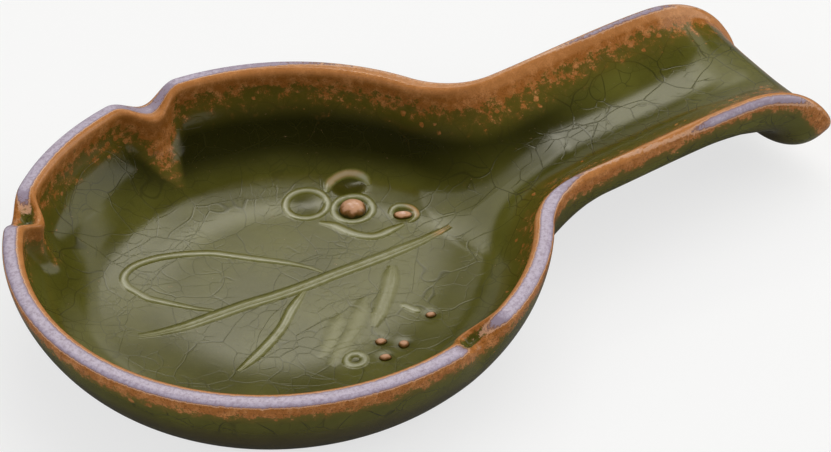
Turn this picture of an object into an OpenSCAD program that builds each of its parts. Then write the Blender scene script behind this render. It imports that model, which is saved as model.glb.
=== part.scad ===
// Spoon rest: a round stoneware bowl with a trough handle that curls down at its tip.
// The origin is at the middle of the bowl, on the table. The handle runs along +X.

/* [Bowl] */
// Radius of the bowl at the inner edge of its rim
bowl_r = 62.5; // [50:0.5:90]
// Depth of the bowl, from its rim down to its flat floor
bowl_depth = 22.5; // [16:0.5:32]
// Width of the curved inner wall seen from above, from the rim in to the flat floor
wall_run = 19.5; // [14:0.5:26]
// Thickness of the clay under the flat floor
base_t = 4.5; // [3.5:0.5:9]
// How much wider the flat underside is than the flat floor, on each side
heel_w = 5.8; // [3:0.1:8]

/* [Rim] */
// Width of the rim from its inner to its outer edge
rim_w = 3.9; // [2.8:0.1:6]
// Radius that rounds both edges of the rim
rim_round = 1; // [0.4:0.1:1.3]

/* [Handle] */
// Width of the trough between the inner edges of the handle's rim
trough_w = 42; // [32:0.5:60]
// Depth of the trough below the handle's rim
trough_depth = 10; // [8:0.5:14]
// Thickness of the clay under the trough
trough_t = 6; // [3.5:0.5:8]
// Radius that blends the bowl's rim into the handle's rim, seen from above
neck_r = 25; // [16:1:40]
// Length of the handle from the neck to the start of its curl
handle_l = 47.5; // [35:0.5:80]
// How much higher the handle's rim is than the bowl's rim
handle_rise = 4; // [2:0.2:9]
// Length over which the bowl's floor climbs to the bottom of the trough
climb_l = 40; // [30:1:55]

/* [Tip] */
// Radius of the curl, along the rim
curl_r = 32; // [26:0.5:60]
// Angle that the tip curls down through
curl_turn = 56; // [30:1:65]
// Radius that rounds the tip's two corners, seen from above
tip_corner_r = 7; // [6:0.5:15]
// Thickness of the rounded lip at the tip
lip_t = 15.6; // [10:0.1:17]
// Extra thickness of the clay under the start of the curl
bend_fill = 1.8; // [0:0.1:4]
// Distance along the rim over which that extra thickness fades out, each way
bend_fill_l = 20; // [10:1:30]
// Depth of the trough that is left at the tip
tip_depth = 2.5; // [1:0.5:5]

/* [Notches] */
// Directions of the three pressed notches, counted from the handle
notch_turns = [97.5, 149.5, -71];
// Width of a notch along the rim
notch_w = 18; // [12:0.5:26]
// Depth of a notch below the rim
notch_depth = 4.5; // [3:0.5:8]
// How far a notch pushes the inner wall towards the middle
notch_bulge = 5.5; // [2:0.5:9]
// How far a notch dents the outer wall
notch_dent = 2.5; // [1:0.5:5]

/* [Foot] */
// Height of the bare foot ring
foot_h = 2; // [1:0.5:5]
// Width of the foot ring's wall
foot_w = 5; // [3:0.5:9]
// Distance from the edge of the flat underside in to the foot ring
foot_inset = 3; // [1:0.5:6]

/* [Sprig] */
// Distance from the raised sprig to the edge of the flat floor
sprig_margin = 0.5; // [0.5:0.1:6]
// Height of the sprig's ridges above the floor
ridge_h = 0.9; // [0.5:0.1:1.5]

/* [Hidden] */

bowl_h = foot_h + base_t + bowl_depth;
floor_r = bowl_r - wall_run;
floor_z = foot_h + base_t;
base_r = floor_r + heel_w;
outer_run = bowl_r + rim_w - base_r;
trough_half = trough_w / 2;
handle_t = trough_depth + trough_t;

// The neck: a fillet circle that touches the rim circle and the handle's straight rim
fillet_y = trough_half + neck_r;
neck_x = sqrt(pow(bowl_r + neck_r, 2) - pow(fillet_y, 2));
neck_turn = atan2(fillet_y, neck_x);
curl_x = neck_x + handle_l;

// Shares that shape the walls: the powers of their curves, inside and outside
bowl_power_share = 2.1;
trough_power_share = 2.4;
bowl_outer_power_share = 1.6;
trough_outer_power_share = 2.5;

function mix(a, b, t) = a + (b - a) * t;
function clamp01(t) = min(1, max(0, t));
function smooth(t) = let (u = clamp01(t)) u * u * (3 - 2 * u);
function unit(p) = p / norm(p);

// Heights along the handle's axis: the rim, the floor inside and the underside
rise_start = bowl_r;
rise_end = curl_x;
function rim_z(x) = bowl_h + handle_rise * smooth((x - rise_start) / (rise_end - rise_start));
function floor_line(x) = mix(floor_z, rim_z(x) - trough_depth, smooth((x - floor_r) / climb_l));
under_start_share = 0.15;
under_l_share = 0.7;
under_start = mix(base_r, neck_x, under_start_share);
under_l = climb_l * under_l_share;
function under_line(x) = mix(foot_h, rim_z(x) - handle_t, smooth((x - under_start) / under_l));

// How strongly the notches act at a direction round the bowl: 1 at a notch's middle
notch_half_turn = notch_w / 2 / bowl_r * 180 / PI;
function turn_gap(a, b) = abs((a - b + 540) % 360 - 180);
function notch_at(turn) = max([for (t = notch_turns)
    let (g = turn_gap(turn, t) / notch_half_turn) g < 1 ? (1 + cos(180 * g)) / 2 : 0]);

// Stations round the rim. Each holds the rim's inner point, the direction out across the rim,
// the place on the axis that its section runs to, its share of the way into the neck, and how
// strongly a notch acts there.
arc_steps = 56;
fillet_steps = 9;
axis_start_turn = 100;
axis_at_neck_share = 0.62;
axis_power_share = 1.6;
function axis_x(turn) = neck_x * axis_at_neck_share
    * pow(clamp01((axis_start_turn - abs(turn)) / (axis_start_turn - neck_turn)), axis_power_share);
function arc_station(turn) = [
    bowl_r * [cos(turn), sin(turn)], [cos(turn), sin(turn)], axis_x(turn), 0, notch_at(turn)];
function fillet_station(t, side) =
    let (turn = 180 + mix(neck_turn, 90, t), out = [-cos(turn), -sin(turn)])
    [[neck_x + neck_r * cos(turn), side * (fillet_y + neck_r * sin(turn))],
     [out[0], side * out[1]], neck_x * mix(axis_at_neck_share, 1, t), smooth(t), 0];
stations = concat(
    [for (i = [0:fillet_steps - 1]) fillet_station(1 - i / fillet_steps, -1)],
    [for (i = [0:arc_steps]) arc_station(-mix(neck_turn, 180, i / arc_steps))],
    [for (i = [arc_steps - 1:-1:0]) arc_station(mix(neck_turn, 180, i / arc_steps))],
    [for (i = [1:fillet_steps]) fillet_station(i / fillet_steps, 1)]);

// Half a section, from the axis inside, over the rim, to the axis underneath. Each point is a
// plan position and a height. The section's values: rim point, out direction, axis point, run
// of the inner wall, run of the outer wall, rim height, depth, height, share into the neck, notch.
inner_steps = 8;
outer_steps = 7;
function bowl_fall(v) = pow(1 - pow(1 - v, bowl_power_share), 1 / bowl_power_share);
function trough_fall(v) = 1 - pow(1 - v, trough_power_share);
trough_curved_share = 0.94;
under_curved_share = 0.85;
function inner_fall(v, k) = mix(bowl_fall(v), trough_fall(v), k);
function half_section(a, out, m, run_in, run_out, top, depth, high, k, notch) =
    let (drop = notch_depth * notch, push = notch_bulge * notch, dent = notch_dent * notch,
         b = a + out * rim_w, in_dir = unit(m - a), b_dir = unit(m - b))
    concat(
        [[m[0], m[1], top - depth]],
        [for (j = [0:inner_steps - 1])
            let (v = 1 - j / inner_steps, w = rim_round + (depth - rim_round) * inner_fall(v, k))
            let (p = a + in_dir * run_in * v - out * push * pow(1 - v, 2))
            [p[0], p[1], top - mix(drop, depth, w / depth)]],
        [for (k = [0:3])
            let (turn = 30 * k, p = a + out * (rim_round * (1 - cos(turn)) - push))
            [p[0], p[1], top - drop - rim_round * (1 - sin(turn))]],
        [for (k = [3:-1:0])
            let (turn = 30 * k, p = b - out * (rim_round * (1 - cos(turn)) + dent))
            [p[0], p[1], top - drop - rim_round * (1 - sin(turn))]],
        [for (j = [1:outer_steps])
            let (turn = 90 * j / outer_steps,
                 power = mix(bowl_outer_power_share, trough_outer_power_share, k),
                 s = pow(sin(turn), 2 / power), c = pow(max(cos(turn), 0), 2 / power),
                 fade = pow(1 - s, 2))
            let (p = b + b_dir * run_out * (1 - c) - out * dent * fade)
            [p[0], p[1], top - rim_round - drop * fade - (high - rim_round) * s]],
        [[m[0], m[1], top - high]]);

section_n = inner_steps + outer_steps + 10;

function station_section(s) =
    let (a = s[0], m = [s[2], 0], k = s[3], top = rim_z(max(a[0], 0)))
    half_section(a, s[1], m, mix(wall_run, norm(m - a) * trough_curved_share, k),
        mix(outer_run, norm(m - a - s[1] * rim_w) * under_curved_share, k), top, top - floor_line(s[2]),
        top - under_line(s[2]), k, s[4]);

// The bowl's skin. Both ends of its stations lie in the neck's plane and are closed by one cap.
// Sections on the two sides of the axis share their points on the axis.
rows = len(stations);
mid_row = (rows - 1) / 2;
function axis_row(i) = stations[i][2] == 0 ? mid_row : min(i, rows - 1 - i);
function bowl_point(i, j) = (j == 0 || j == section_n - 1 ? axis_row(i) : i) * section_n + j;
function real_face(f) = f[0] != f[1] && f[1] != f[2] && f[2] != f[0];
function bowl_faces() = concat(
    [for (i = [0:rows - 2]) for (j = [0:section_n - 2])
        let (a = bowl_point(i, j), b = bowl_point(i, j + 1),
             c = bowl_point(i + 1, j), d = bowl_point(i + 1, j + 1))
        for (f = [[a, b, d], [a, d, c]]) if (real_face(f)) f],
    [[for (j = [0:section_n - 2]) bowl_point(rows - 1, j),
      for (j = [section_n - 1:-1:1]) bowl_point(0, j)]]);

module bowl() {
    color("darkolivegreen")
        polyhedron([for (s = stations) each station_section(s)], bowl_faces());
}

// Frames along the handle's rim line: its place and height, how far it has turned down, the
// distance on to the tip's end, and how much the rounded lip has thinned.
straight_steps = 12;
curl_steps = 8;
lip_steps = 5;
lip_r = lip_t / 2;
lip_last_turn = 80;
tip_fade_share = 0.6;
curl_l = curl_r * curl_turn * PI / 180;
tip_l = curl_l + lip_r;
function curl_frame(turn) = [curl_x + curl_r * sin(turn),
    rim_z(curl_x) - curl_r * (1 - cos(turn)), turn, tip_l - curl_r * turn * PI / 180, 1];
function lip_frame(turn) =
    let (end = curl_frame(curl_turn), on = lip_r * sin(turn))
    [end[0] + on * cos(curl_turn), end[1] - on * sin(curl_turn), curl_turn,
     lip_r - on, cos(turn)];
frames = concat(
    [for (i = [0:straight_steps]) let (x = mix(neck_x, curl_x, i / straight_steps))
        [x, rim_z(x), 0, curl_x - x + tip_l, 1]],
    [for (i = [1:curl_steps]) curl_frame(curl_turn * i / curl_steps)],
    [for (i = [1:lip_steps]) lip_frame(lip_last_turn * i / lip_steps)]);

function half_width(to_end) = trough_half + rim_w - tip_corner_r
    + sqrt(pow(tip_corner_r, 2) - pow(max(0, tip_corner_r - to_end), 2));
fill_middle_share = 0.4;
function fill_at(along) =
    bend_fill * (1 + cos(180 * min(1, abs(along / bend_fill_l - fill_middle_share)))) / 2;
function handle_section(f) =
    let (half = half_width(f[3]) - rim_w, fade = smooth((tip_l - f[3]) / tip_l / tip_fade_share),
         full = f[1] - floor_line(f[0]),
         depth = f[3] > tip_l ? full : mix(trough_depth, tip_depth, fade),
         high = (f[3] > tip_l ? f[1] - under_line(f[0]) : mix(handle_t, lip_t, fade))
             + fill_at(tip_l - f[3]))
    [for (side = [1, -1])
        let (row = half_section([0, side * half], [0, side], [0, 0], half * trough_curved_share,
                 (half + rim_w) * under_curved_share, 0,
                 depth, high, 1, 0))
        for (j = side > 0 ? [1:section_n - 2] : [section_n - 2:-1:1])
            let (p = row[j], w = high / 2 + (-p[2] - high / 2) * f[4])
            [f[0] - w * sin(f[2]), p[1], f[1] - w * cos(f[2])]];

module handle() {
    n = 2 * section_n - 4;
    color("olivedrab")
        polyhedron([for (f = frames) each handle_section(f)], concat(
            [for (i = [0:len(frames) - 2]) for (j = [0:n - 1])
                let (a = i * n + j, b = i * n + (j + 1) % n)
                each [[a, b, b + n], [a, b + n, a + n]]],
            [[for (j = [n - 1:-1:0]) j]],
            [[for (j = [0:n - 1]) (len(frames) - 1) * n + j]]));
}

foot_steps = 96;
module foot_ring() {
    color("tan") difference() {
        cylinder(r = base_r - foot_inset, h = foot_h, $fn = foot_steps);
        translate([0, 0, -foot_h])
            cylinder(r = base_r - foot_inset - foot_w, h = 3 * foot_h, $fn = foot_steps);
    }
}

// The raised sprig fills a circle on the flat floor. Its paths, places, widths and radii are
// shares of that circle's radius.
sprig_r = floor_r - sprig_margin;
stem_shares = [[-0.836, 0.03], [-0.602, 0], [-0.355, -0.022], [-0.11, -0.042], [0.085, -0.044],
               [0.29, -0.036], [0.454, -0.035], [0.689, -0.035], [0.866, -0.023], [0.94, -0.019]];
leaf_shares = [[0.253, 0.056], [0.162, 0.152], [0.014, 0.304], [-0.096, 0.433], [-0.24, 0.541],
               [-0.403, 0.616], [-0.574, 0.66], [-0.703, 0.637], [-0.784, 0.572],
               [-0.774, 0.486], [-0.708, 0.337], [-0.572, 0.193], [-0.486, 0.091]];
vein_shares = [[0.056, -0.126], [-0.092, -0.259], [-0.298, -0.385], [-0.483, -0.461],
               [-0.57, -0.487]];
broad_fold_shares = [[0.664, -0.12], [0.52, -0.316], [0.348, -0.501], [0.2, -0.622]];
inner_fold_shares = [[0.381, -0.37], [0.245, -0.476], [0.09, -0.581], [-0.059, -0.694]];
outer_fold_shares = [[0.2, -0.334], [0.085, -0.455], [-0.068, -0.582]];
bud_stalk_shares = [[0.567, 0.265], [0.627, 0.2], [0.698, 0.147], [0.779, 0.121], [0.87, 0.131]];
bud_cup_shares = [[0.815, 0.202], [0.83, 0.283], [0.882, 0.326], [0.931, 0.314], [0.956, 0.263]];
side_stalk_shares = [[0.543, -0.405], [0.574, -0.486], [0.599, -0.56]];
upper_petal_shares = [[0.872, 0.43], [0.845, 0.498], [0.796, 0.564], [0.737, 0.622], [0.673, 0.66]];
large_berry_shares = [0.696, 0.433];
ring_petal_shares = [0.493, 0.642];
loop_leaf_shares = [0.07, -0.76];
bud_shares = [0.895, 0.238];
side_bud_shares = [0.619, -0.65];
small_berry_shares = [[0.259, -0.677], [0.357, -0.776], [0.219, -0.821]];

ridge_share = 0.043;
stem_share = 0.056;
fold_share = 0.06;
large_berry_share = 0.07;
berry_ring_share = 0.106;
ring_petal_share = 0.107;
loop_leaf_share = 0.054;
small_berry_share = 0.035;
bud_share = 0.037;

// A ridge laid along a path on the floor: it is round on top and runs out at both ends
path_steps = 3;
ridge_shares = [[-0.5, 0], [-0.34, 0.68], [0, 1], [0.34, 0.68], [0.5, 0]];
end_share = 0.45;
function curve_point(p, i, t) =
    let (a = p[max(0, i - 1)], b = p[i], c = p[i + 1], d = p[min(len(p) - 1, i + 2)])
    (2 * b + (c - a) * t + (2 * a - 5 * b + 4 * c - d) * t * t
        + (3 * b - a - 3 * c + d) * t * t * t) / 2;
function curve(p) = concat(
    [for (i = [0:len(p) - 2]) for (k = [0:path_steps - 1]) curve_point(p, i, k / path_steps)],
    [p[len(p) - 1]]);
function end_size(i, n) = mix(end_share, 1, sin(90 * min(1, 4 * min(i, n - i) / n)));

module ridge(shares, width_share) {
    p = sprig_r * curve(shares);
    n = len(p) - 1;
    m = len(ridge_shares);
    w = sprig_r * width_share;
    polyhedron(
        [for (i = [0:n])
            let (on = unit(p[min(n, i + 1)] - p[max(0, i - 1)]), size = end_size(i, n))
            for (q = ridge_shares)
                let (at = p[i] + [on[1], -on[0]] * q[0] * w * size)
                [at[0], at[1], floor_z + q[1] * ridge_h * size]],
        concat(
            [for (i = [0:n - 1]) for (j = [0:m - 1])
                let (a = i * m + j, b = i * m + (j + 1) % m)
                each [[a, b + m, b], [a, a + m, b + m]]],
            [[for (j = [0:m - 1]) j]],
            [[for (j = [m - 1:-1:0]) n * m + j]]));
}

// A ridge that closes into a ring round a place on the floor
ring_steps = 40;
module ring(shares, radius_share) {
    w = sprig_r * ridge_share;
    translate([sprig_r * shares[0], sprig_r * shares[1], floor_z])
        rotate_extrude($fn = ring_steps)
            translate([sprig_r * radius_share, 0])
                polygon([for (q = ridge_shares) [q[0] * w, q[1] * ridge_h]]);
}

// Half a ball that sits on the floor
dome_steps = 40;
module dome(shares, radius_share) {
    r = sprig_r * radius_share;
    translate([sprig_r * shares[0], sprig_r * shares[1], floor_z])
        intersection() {
            sphere(r = r, $fn = dome_steps);
            translate([-r, -r, 0]) cube([2 * r, 2 * r, r]);
        }
}

module stem() { color("peru") ridge(stem_shares, stem_share); }
module leaf_edge() { color("yellowgreen") ridge(leaf_shares, ridge_share); }
module side_vein() { color("peru") ridge(vein_shares, ridge_share); }
module broad_fold() { color("yellowgreen") ridge(broad_fold_shares, fold_share); }
module inner_fold() { color("yellowgreen") ridge(inner_fold_shares, fold_share); }
module outer_fold() { color("yellowgreen") ridge(outer_fold_shares, fold_share); }
module ring_petal() { color("wheat") ring(ring_petal_shares, ring_petal_share); }
module upper_petal() { color("wheat") ridge(upper_petal_shares, ridge_share); }
module berry_ring() { color("wheat") ring(large_berry_shares, berry_ring_share); }
module large_berry() { color("firebrick") dome(large_berry_shares, large_berry_share); }
module bud_stalk() { color("peru") ridge(bud_stalk_shares, ridge_share); }
module bud_cup() { color("peru") ridge(bud_cup_shares, ridge_share); }
module bud() { color("firebrick") dome(bud_shares, bud_share); }
module side_stalk() { color("peru") ridge(side_stalk_shares, ridge_share); }
module side_bud() { color("firebrick") dome(side_bud_shares, small_berry_share); }
module loop_leaf() { color("yellowgreen") ring(loop_leaf_shares, loop_leaf_share); }
module small_berry_1() { color("firebrick") dome(small_berry_shares[0], small_berry_share); }
module small_berry_2() { color("firebrick") dome(small_berry_shares[1], small_berry_share); }
module small_berry_3() { color("firebrick") dome(small_berry_shares[2], small_berry_share); }

bowl();
handle();
foot_ring();
stem();
leaf_edge();
side_vein();
broad_fold();
inner_fold();
outer_fold();
ring_petal();
upper_petal();
berry_ring();
large_berry();
bud_stalk();
bud_cup();
bud();
side_stalk();
side_bud();
loop_leaf();
small_berry_1();
small_berry_2();
small_berry_3();
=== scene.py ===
"""Spoon rest: a glazed stoneware bowl with a trough handle, its bare foot ring and its sprig.

Sizes are in millimetres, as in the part's own drawing, until a mesh is made in metres.
"""

import logging
import math
from collections.abc import Sequence
from dataclasses import dataclass, field
from enum import Enum

import bmesh
import bpy
import numpy as np
from mathutils import Matrix, Vector


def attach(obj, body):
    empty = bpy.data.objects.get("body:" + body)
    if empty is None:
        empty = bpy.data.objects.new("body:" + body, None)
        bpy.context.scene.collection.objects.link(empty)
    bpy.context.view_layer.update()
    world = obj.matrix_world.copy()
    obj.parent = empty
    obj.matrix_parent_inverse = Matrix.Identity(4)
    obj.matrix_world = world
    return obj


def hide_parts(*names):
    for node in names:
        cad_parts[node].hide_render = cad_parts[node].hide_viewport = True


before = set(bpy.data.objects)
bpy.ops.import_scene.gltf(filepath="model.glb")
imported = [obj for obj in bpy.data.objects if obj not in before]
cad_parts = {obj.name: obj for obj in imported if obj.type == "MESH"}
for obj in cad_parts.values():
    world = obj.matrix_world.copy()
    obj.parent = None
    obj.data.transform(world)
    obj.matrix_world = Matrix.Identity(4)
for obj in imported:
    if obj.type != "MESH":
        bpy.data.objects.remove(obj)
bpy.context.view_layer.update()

MM = 0.001
BODY = "root"
log = logging.getLogger("spoon_rest")

TINY = 1e-6

Array = np.ndarray
Triple = tuple[float, float, float]
Color = Triple
Faces = Sequence[tuple[int, ...]]
Point = tuple[float, float]
Table = tuple[Point, ...]
Material = bpy.types.Material
Socket = bpy.types.NodeSocket
Thing = bpy.types.Object
Value = Socket | float | tuple[float, ...]


class Slot(Enum):
    """The material slots of the part's record."""

    GLAZE = "glaze"
    BARE_CLAY = "bare_clay"
    RELIEF = "relief_glaze"
    BERRY = "berry_glaze"


class Side(Enum):
    """The two long sides of the piece, by the sign of Y."""

    FAR = 1.0
    NEAR = -1.0


def mix(a: Array | float, b: Array | float, t: Array | float) -> Array | float:
    """Goes from a to b as t goes from 0 to 1."""
    return a + (b - a) * t


def unit(t: Array | float) -> Array | float:
    """Holds values between 0 and 1."""
    return np.clip(t, 0.0, 1.0)


def smooth(t: Array | float) -> Array | float:
    """Goes from 0 to 1 with level ends."""
    u = unit(t)
    return u * u * (3.0 - 2.0 * u)


def ramp(value: Array | float, ends: Point) -> Array | float:
    """Goes from 0 to 1 with level ends, as a value goes from one end to the other."""
    return smooth((value - ends[0]) / (ends[1] - ends[0]))


def look_up(table: Table, at: Array) -> Array:
    """Reads a table of places and values, which is level beyond its ends."""
    return np.interp(at, *zip(*table))


def column(values: Array | float) -> Array:
    """Turns a row of values into a column."""
    return np.reshape(np.asarray(values, dtype=float), (-1, 1))


def linear(red: float, green: float, blue: float) -> Color:
    """Turns a colour as it is seen, 0 to 255, into the linear one that shaders take."""
    shares = (value / 255.0 for value in (red, green, blue))
    return tuple(s / 12.92 if s <= 0.04045 else ((s + 0.055) / 1.055) ** 2.4 for s in shares)


@dataclass(frozen=True)
class Notch:
    """One notch pressed into the rim.

    Its width is given in degrees before and after its middle, its depths in millimetres, its
    pale share is how much of the rim's painted highlight band runs on through it, and
    rust_run is how many millimetres further down the rust reaches in it.
    """

    turn: float
    before: float = 8.25
    after: float = 8.25
    drop: float = 4.5
    bulge: float = 5.5
    dent: float = 2.5
    pool: float = 1.1
    pale: float = 0.0
    rust_run: float = 0.0

    def strength(self, turns: Array) -> Array:
        """Says how strongly the notch acts at each direction.

        Args:
            turns: Directions round the bowl, in degrees.

        Returns:
            The strengths, 1 at the notch's middle.
        """
        gap = (turns - self.turn + 540.0) % 360.0 - 180.0
        share = np.where(gap < 0.0, -gap / self.before, gap / self.after)
        return np.where(share < 1.0, (1.0 + np.cos(np.pi * share)) / 2.0, 0.0)


@dataclass(frozen=True)
class Press:
    """What the notches do along a row of sections: depths in millimetres, and strengths."""

    RUST_POWER = 1.5

    drop: Array
    bulge: Array
    dent: Array
    pool: Array
    strength: Array
    # How much of the rim's painted highlight band runs on through the notches.
    pale: Array
    rust_run: Array

    @classmethod
    def none(cls, count: int) -> "Press":
        """Gives a row of sections that no notch touches."""
        return cls(*np.zeros((len(cls.__dataclass_fields__), count, 1)))

    @classmethod
    def of(cls, notches: tuple[Notch, ...], turns: Array) -> "Press":
        """Adds up the notches at each direction, the rust's run more sharply than the rest.

        Args:
            notches: The notches.
            turns: Directions round the bowl, in degrees.

        Returns:
            The notches' depths and strengths there.
        """
        rows = [column(notch.strength(turns)) for notch in notches]
        sums = [
            sum(row * getattr(notch, name) for row, notch in zip(rows, notches))
            for name in ("drop", "bulge", "dent", "pool")
        ]
        pale = sum(row * notch.pale for row, notch in zip(rows, notches))
        run = sum(row ** cls.RUST_POWER * notch.rust_run for row, notch in zip(rows, notches))
        return cls(*sums, strength=sum(rows), pale=pale, rust_run=run)


@dataclass(frozen=True)
class Layout:
    """What half sections run between, one row of values a section.

    inner is the rim's inner points and out the directions out across the rim, both in plan,
    and axis the places on the axis that the sections run to. runs are the widths in plan of the
    curved walls inside and outside, and depths how far the floor and the underside lie below
    the rim. trough is how far a section has gone from the bowl's form to the trough's.
    """

    inner: Array
    out: Array
    axis: Array
    runs: tuple[Array, Array]
    depths: tuple[Array, Array]
    trough: Array
    press: Press

    def outer(self, rim_w: float) -> Array:
        """Gives the rim's outer points in plan."""
        return self.inner + self.out * rim_w

    def place(self, base: Array, along: Array, across: Array, z: Array) -> Array:
        """Sets points from a base towards the axis and across the rim.

        Args:
            base: The base points in plan.
            along: How far each point lies towards the axis, sections by points.
            across: How far it lies out across the rim.
            z: Its height above the rim.

        Returns:
            The points, sections by points by coordinates.
        """
        way = (self.axis - base) / np.linalg.norm(self.axis - base, axis=1, keepdims=True)
        plan = (base[:, None, :] + way[:, None, :] * along[:, :, None]
                + self.out[:, None, :] * across[:, :, None])
        return np.concatenate([plan, np.broadcast_to(z, along.shape)[:, :, None]], axis=2)

    def on_axis(self, depth: Array) -> Array:
        """Gives each section's point on the axis, at a depth below the rim."""
        return np.concatenate([self.axis[:, None, :], -depth[:, :, None]], axis=2)


@dataclass(frozen=True)
class Steps:
    """How finely a section is cut, from the axis inside over the rim to the axis underneath."""

    floor: int = 38
    wall: int = 40
    edge: int = 7
    top: int = 7
    outside: int = 30
    under: int = 4

    @property
    def rim(self) -> int:
        """Gives the place of the rim's middle in a section."""
        return self.floor + self.wall + self.edge + 1 + self.top // 2

    @property
    def count(self) -> int:
        """Gives how many points a section has."""
        return (self.floor + self.wall + 2 * (self.edge + 1) + self.top
                + self.outside + self.under)


@dataclass(frozen=True)
class ClayForm:
    """The sizes of the fired piece and the lines that its sections follow.

    dish gives the floor's slope by the distance from the bowl's middle. The powers say how
    square the walls are, and trough_powers those of the far and near side. The trough's last
    trough_knee steps are eased into its rim, over trough_reach at most and trough_edge across.
    The values for the painted shade say where the far wall is painted dark, low down: towards
    which turn, how high over the floor and how far along the axis.
    """

    bowl_r: float = 62.5
    bowl_h: float = 29.0
    floor_r: float = 43.0
    floor_z: float = 6.5
    base_r: float = 48.8
    foot_h: float = 2.0
    wall_run: float = 19.5
    outer_run: float = 17.6
    rim_w: float = 3.9
    rim_round: float = 1.5
    rim_lean: float = 1.15
    lean_depth: float = 9.0
    trough_half: float = 21.0
    trough_depth: float = 10.0
    handle_t: float = 16.0
    neck_r: float = 25.0
    handle_l: float = 47.4
    handle_rise: float = 4.0
    climb_l: float = 40.0
    bowl_power: float = 2.1
    trough_powers: Point = (3.3, 2.3)
    trough_knee: int = 6
    trough_edge: float = 0.7
    trough_reach: float = 2.0
    bowl_outer_power: float = 1.6
    trough_outer_power: float = 2.5
    trough_curved: float = 0.94
    under_curved: float = 0.85
    under_start_share: float = 0.15
    under_l_share: float = 0.7
    dish: Table = ((26, 0), (36, 0.08), (43, 0.085), (51, 0))
    dish_step: float = 0.1
    dish_fade: Point = (51.0, 62.0)
    # Where shade is painted dark: low on the far wall of the bowl.
    shade_turn: float = 61.0
    shade_towards: Point = (22.0, 50.0)
    shade_heights: Point = (-0.5, 4.5)
    shade_ends: Point = (76.0, 110.0)
    steps: Steps = field(default_factory=Steps)

    @property
    def fillet_y(self) -> float:
        """Gives how far the neck's fillet circles stand from the axis."""
        return self.trough_half + self.neck_r

    @property
    def neck_x(self) -> float:
        """Gives the place of the neck's plane."""
        return math.sqrt((self.bowl_r + self.neck_r) ** 2 - self.fillet_y ** 2)

    @property
    def neck_turn(self) -> float:
        """Gives the direction, in degrees, at which the rim leaves the bowl's circle."""
        return math.degrees(math.atan2(self.fillet_y, self.neck_x))

    @property
    def curl_x(self) -> float:
        """Gives the place where the handle starts to curl down."""
        return self.neck_x + self.handle_l

    def rim_z(self, x: Array) -> Array:
        """Gives the rim's height."""
        return self.bowl_h + self.handle_rise * ramp(x, (self.bowl_r, self.curl_x))

    def floor_line(self, x: Array) -> Array:
        """Gives the height of the floor inside, along the axis."""
        climb = smooth((x - self.floor_r) / self.climb_l)
        return mix(self.floor_z, self.rim_z(x) - self.trough_depth, climb)

    def under_line(self, x: Array) -> Array:
        """Gives the height of the underside, along the axis."""
        start = mix(self.base_r, self.neck_x, self.under_start_share)
        return mix(self.foot_h, self.rim_z(x) - self.handle_t,
                   smooth((x - start) / (self.climb_l * self.under_l_share)))

    def dish_z(self, in_from_rim: Array) -> Array:
        """Gives how far the floor is dished up, by the way in from the rim.

        Args:
            in_from_rim: Distances in plan from the rim's inner edge.

        Returns:
            The heights over the flat floor and the plain wall.
        """
        radius = np.arange(0.0, self.bowl_r, self.dish_step)
        rise = np.cumsum(look_up(self.dish, radius)) * self.dish_step
        rise = rise * (1.0 - ramp(radius, self.dish_fade))
        return np.interp(self.bowl_r - in_from_rim, radius, rise)

    def sections(self, layout: Layout) -> Array:
        """Lays half sections from the axis inside, over the rim, to the axis underneath.

        Args:
            layout: What they run between.

        Returns:
            The points, as sections by points by plan x, plan y and height above the rim.
        """
        floor, wall = self._inside(layout)
        rim = self._rim(layout, wall)
        return np.concatenate([floor, wall, *rim, *self._outside(layout)], axis=1)

    def _lean(self, below: Array | float, trough: Array) -> Array:
        """Gives how far the bowl's wall leans in over the bowl, by the depth below the rim."""
        return (1.0 - trough) * self.rim_lean * (1.0 - smooth(below / self.lean_depth))

    def _inside(self, layout: Layout) -> tuple[Array, Array]:
        """Lays the floor, which is dished up a little, and the wall inside.

        Args:
            layout: What the sections run between.

        Returns:
            The floor's points, and the wall's.
        """
        press, k, r = layout.press, column(layout.trough), self.rim_round
        run, depth = column(layout.runs[0]), column(layout.depths[0])
        turn = np.linspace(math.pi / 2, 0.0, self.steps.wall + 1)[None, :-1]
        # v is the share of the way in from the rim, and w the depth below the rim there.
        v = 1.0 - np.cos(turn) ** (2.0 / self.bowl_power)
        bowl_fall = (1.0 - (1.0 - v) ** self.bowl_power) ** (1.0 / self.bowl_power)
        far_power, near_power = self.trough_powers
        power = np.where(layout.inner[:, 1:] > 0.0, far_power, near_power)
        w = r + (depth - r) * mix(bowl_fall, 1.0 - (1.0 - v) ** power, k)
        wall = layout.place(layout.inner, run * v,
                            -self._lean(w, k) - press.bulge * (1.0 - v) ** 2,
                            -mix(press.drop, depth, w / depth))
        share = np.linspace(0.0, 1.0, self.steps.floor + 1)[None, :-1, None]
        floor = mix(layout.on_axis(depth), wall[:, :1], share)
        to_axis = np.linalg.norm(layout.axis - layout.inner, axis=1)[:, None]
        floor[:, :, 2] += self.dish_z(mix(to_axis, run, share[:, :, 0])) * (1.0 - k)
        wall[:, :, 2] += self.dish_z(run * v) * (1.0 - k)
        return floor, wall

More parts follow.
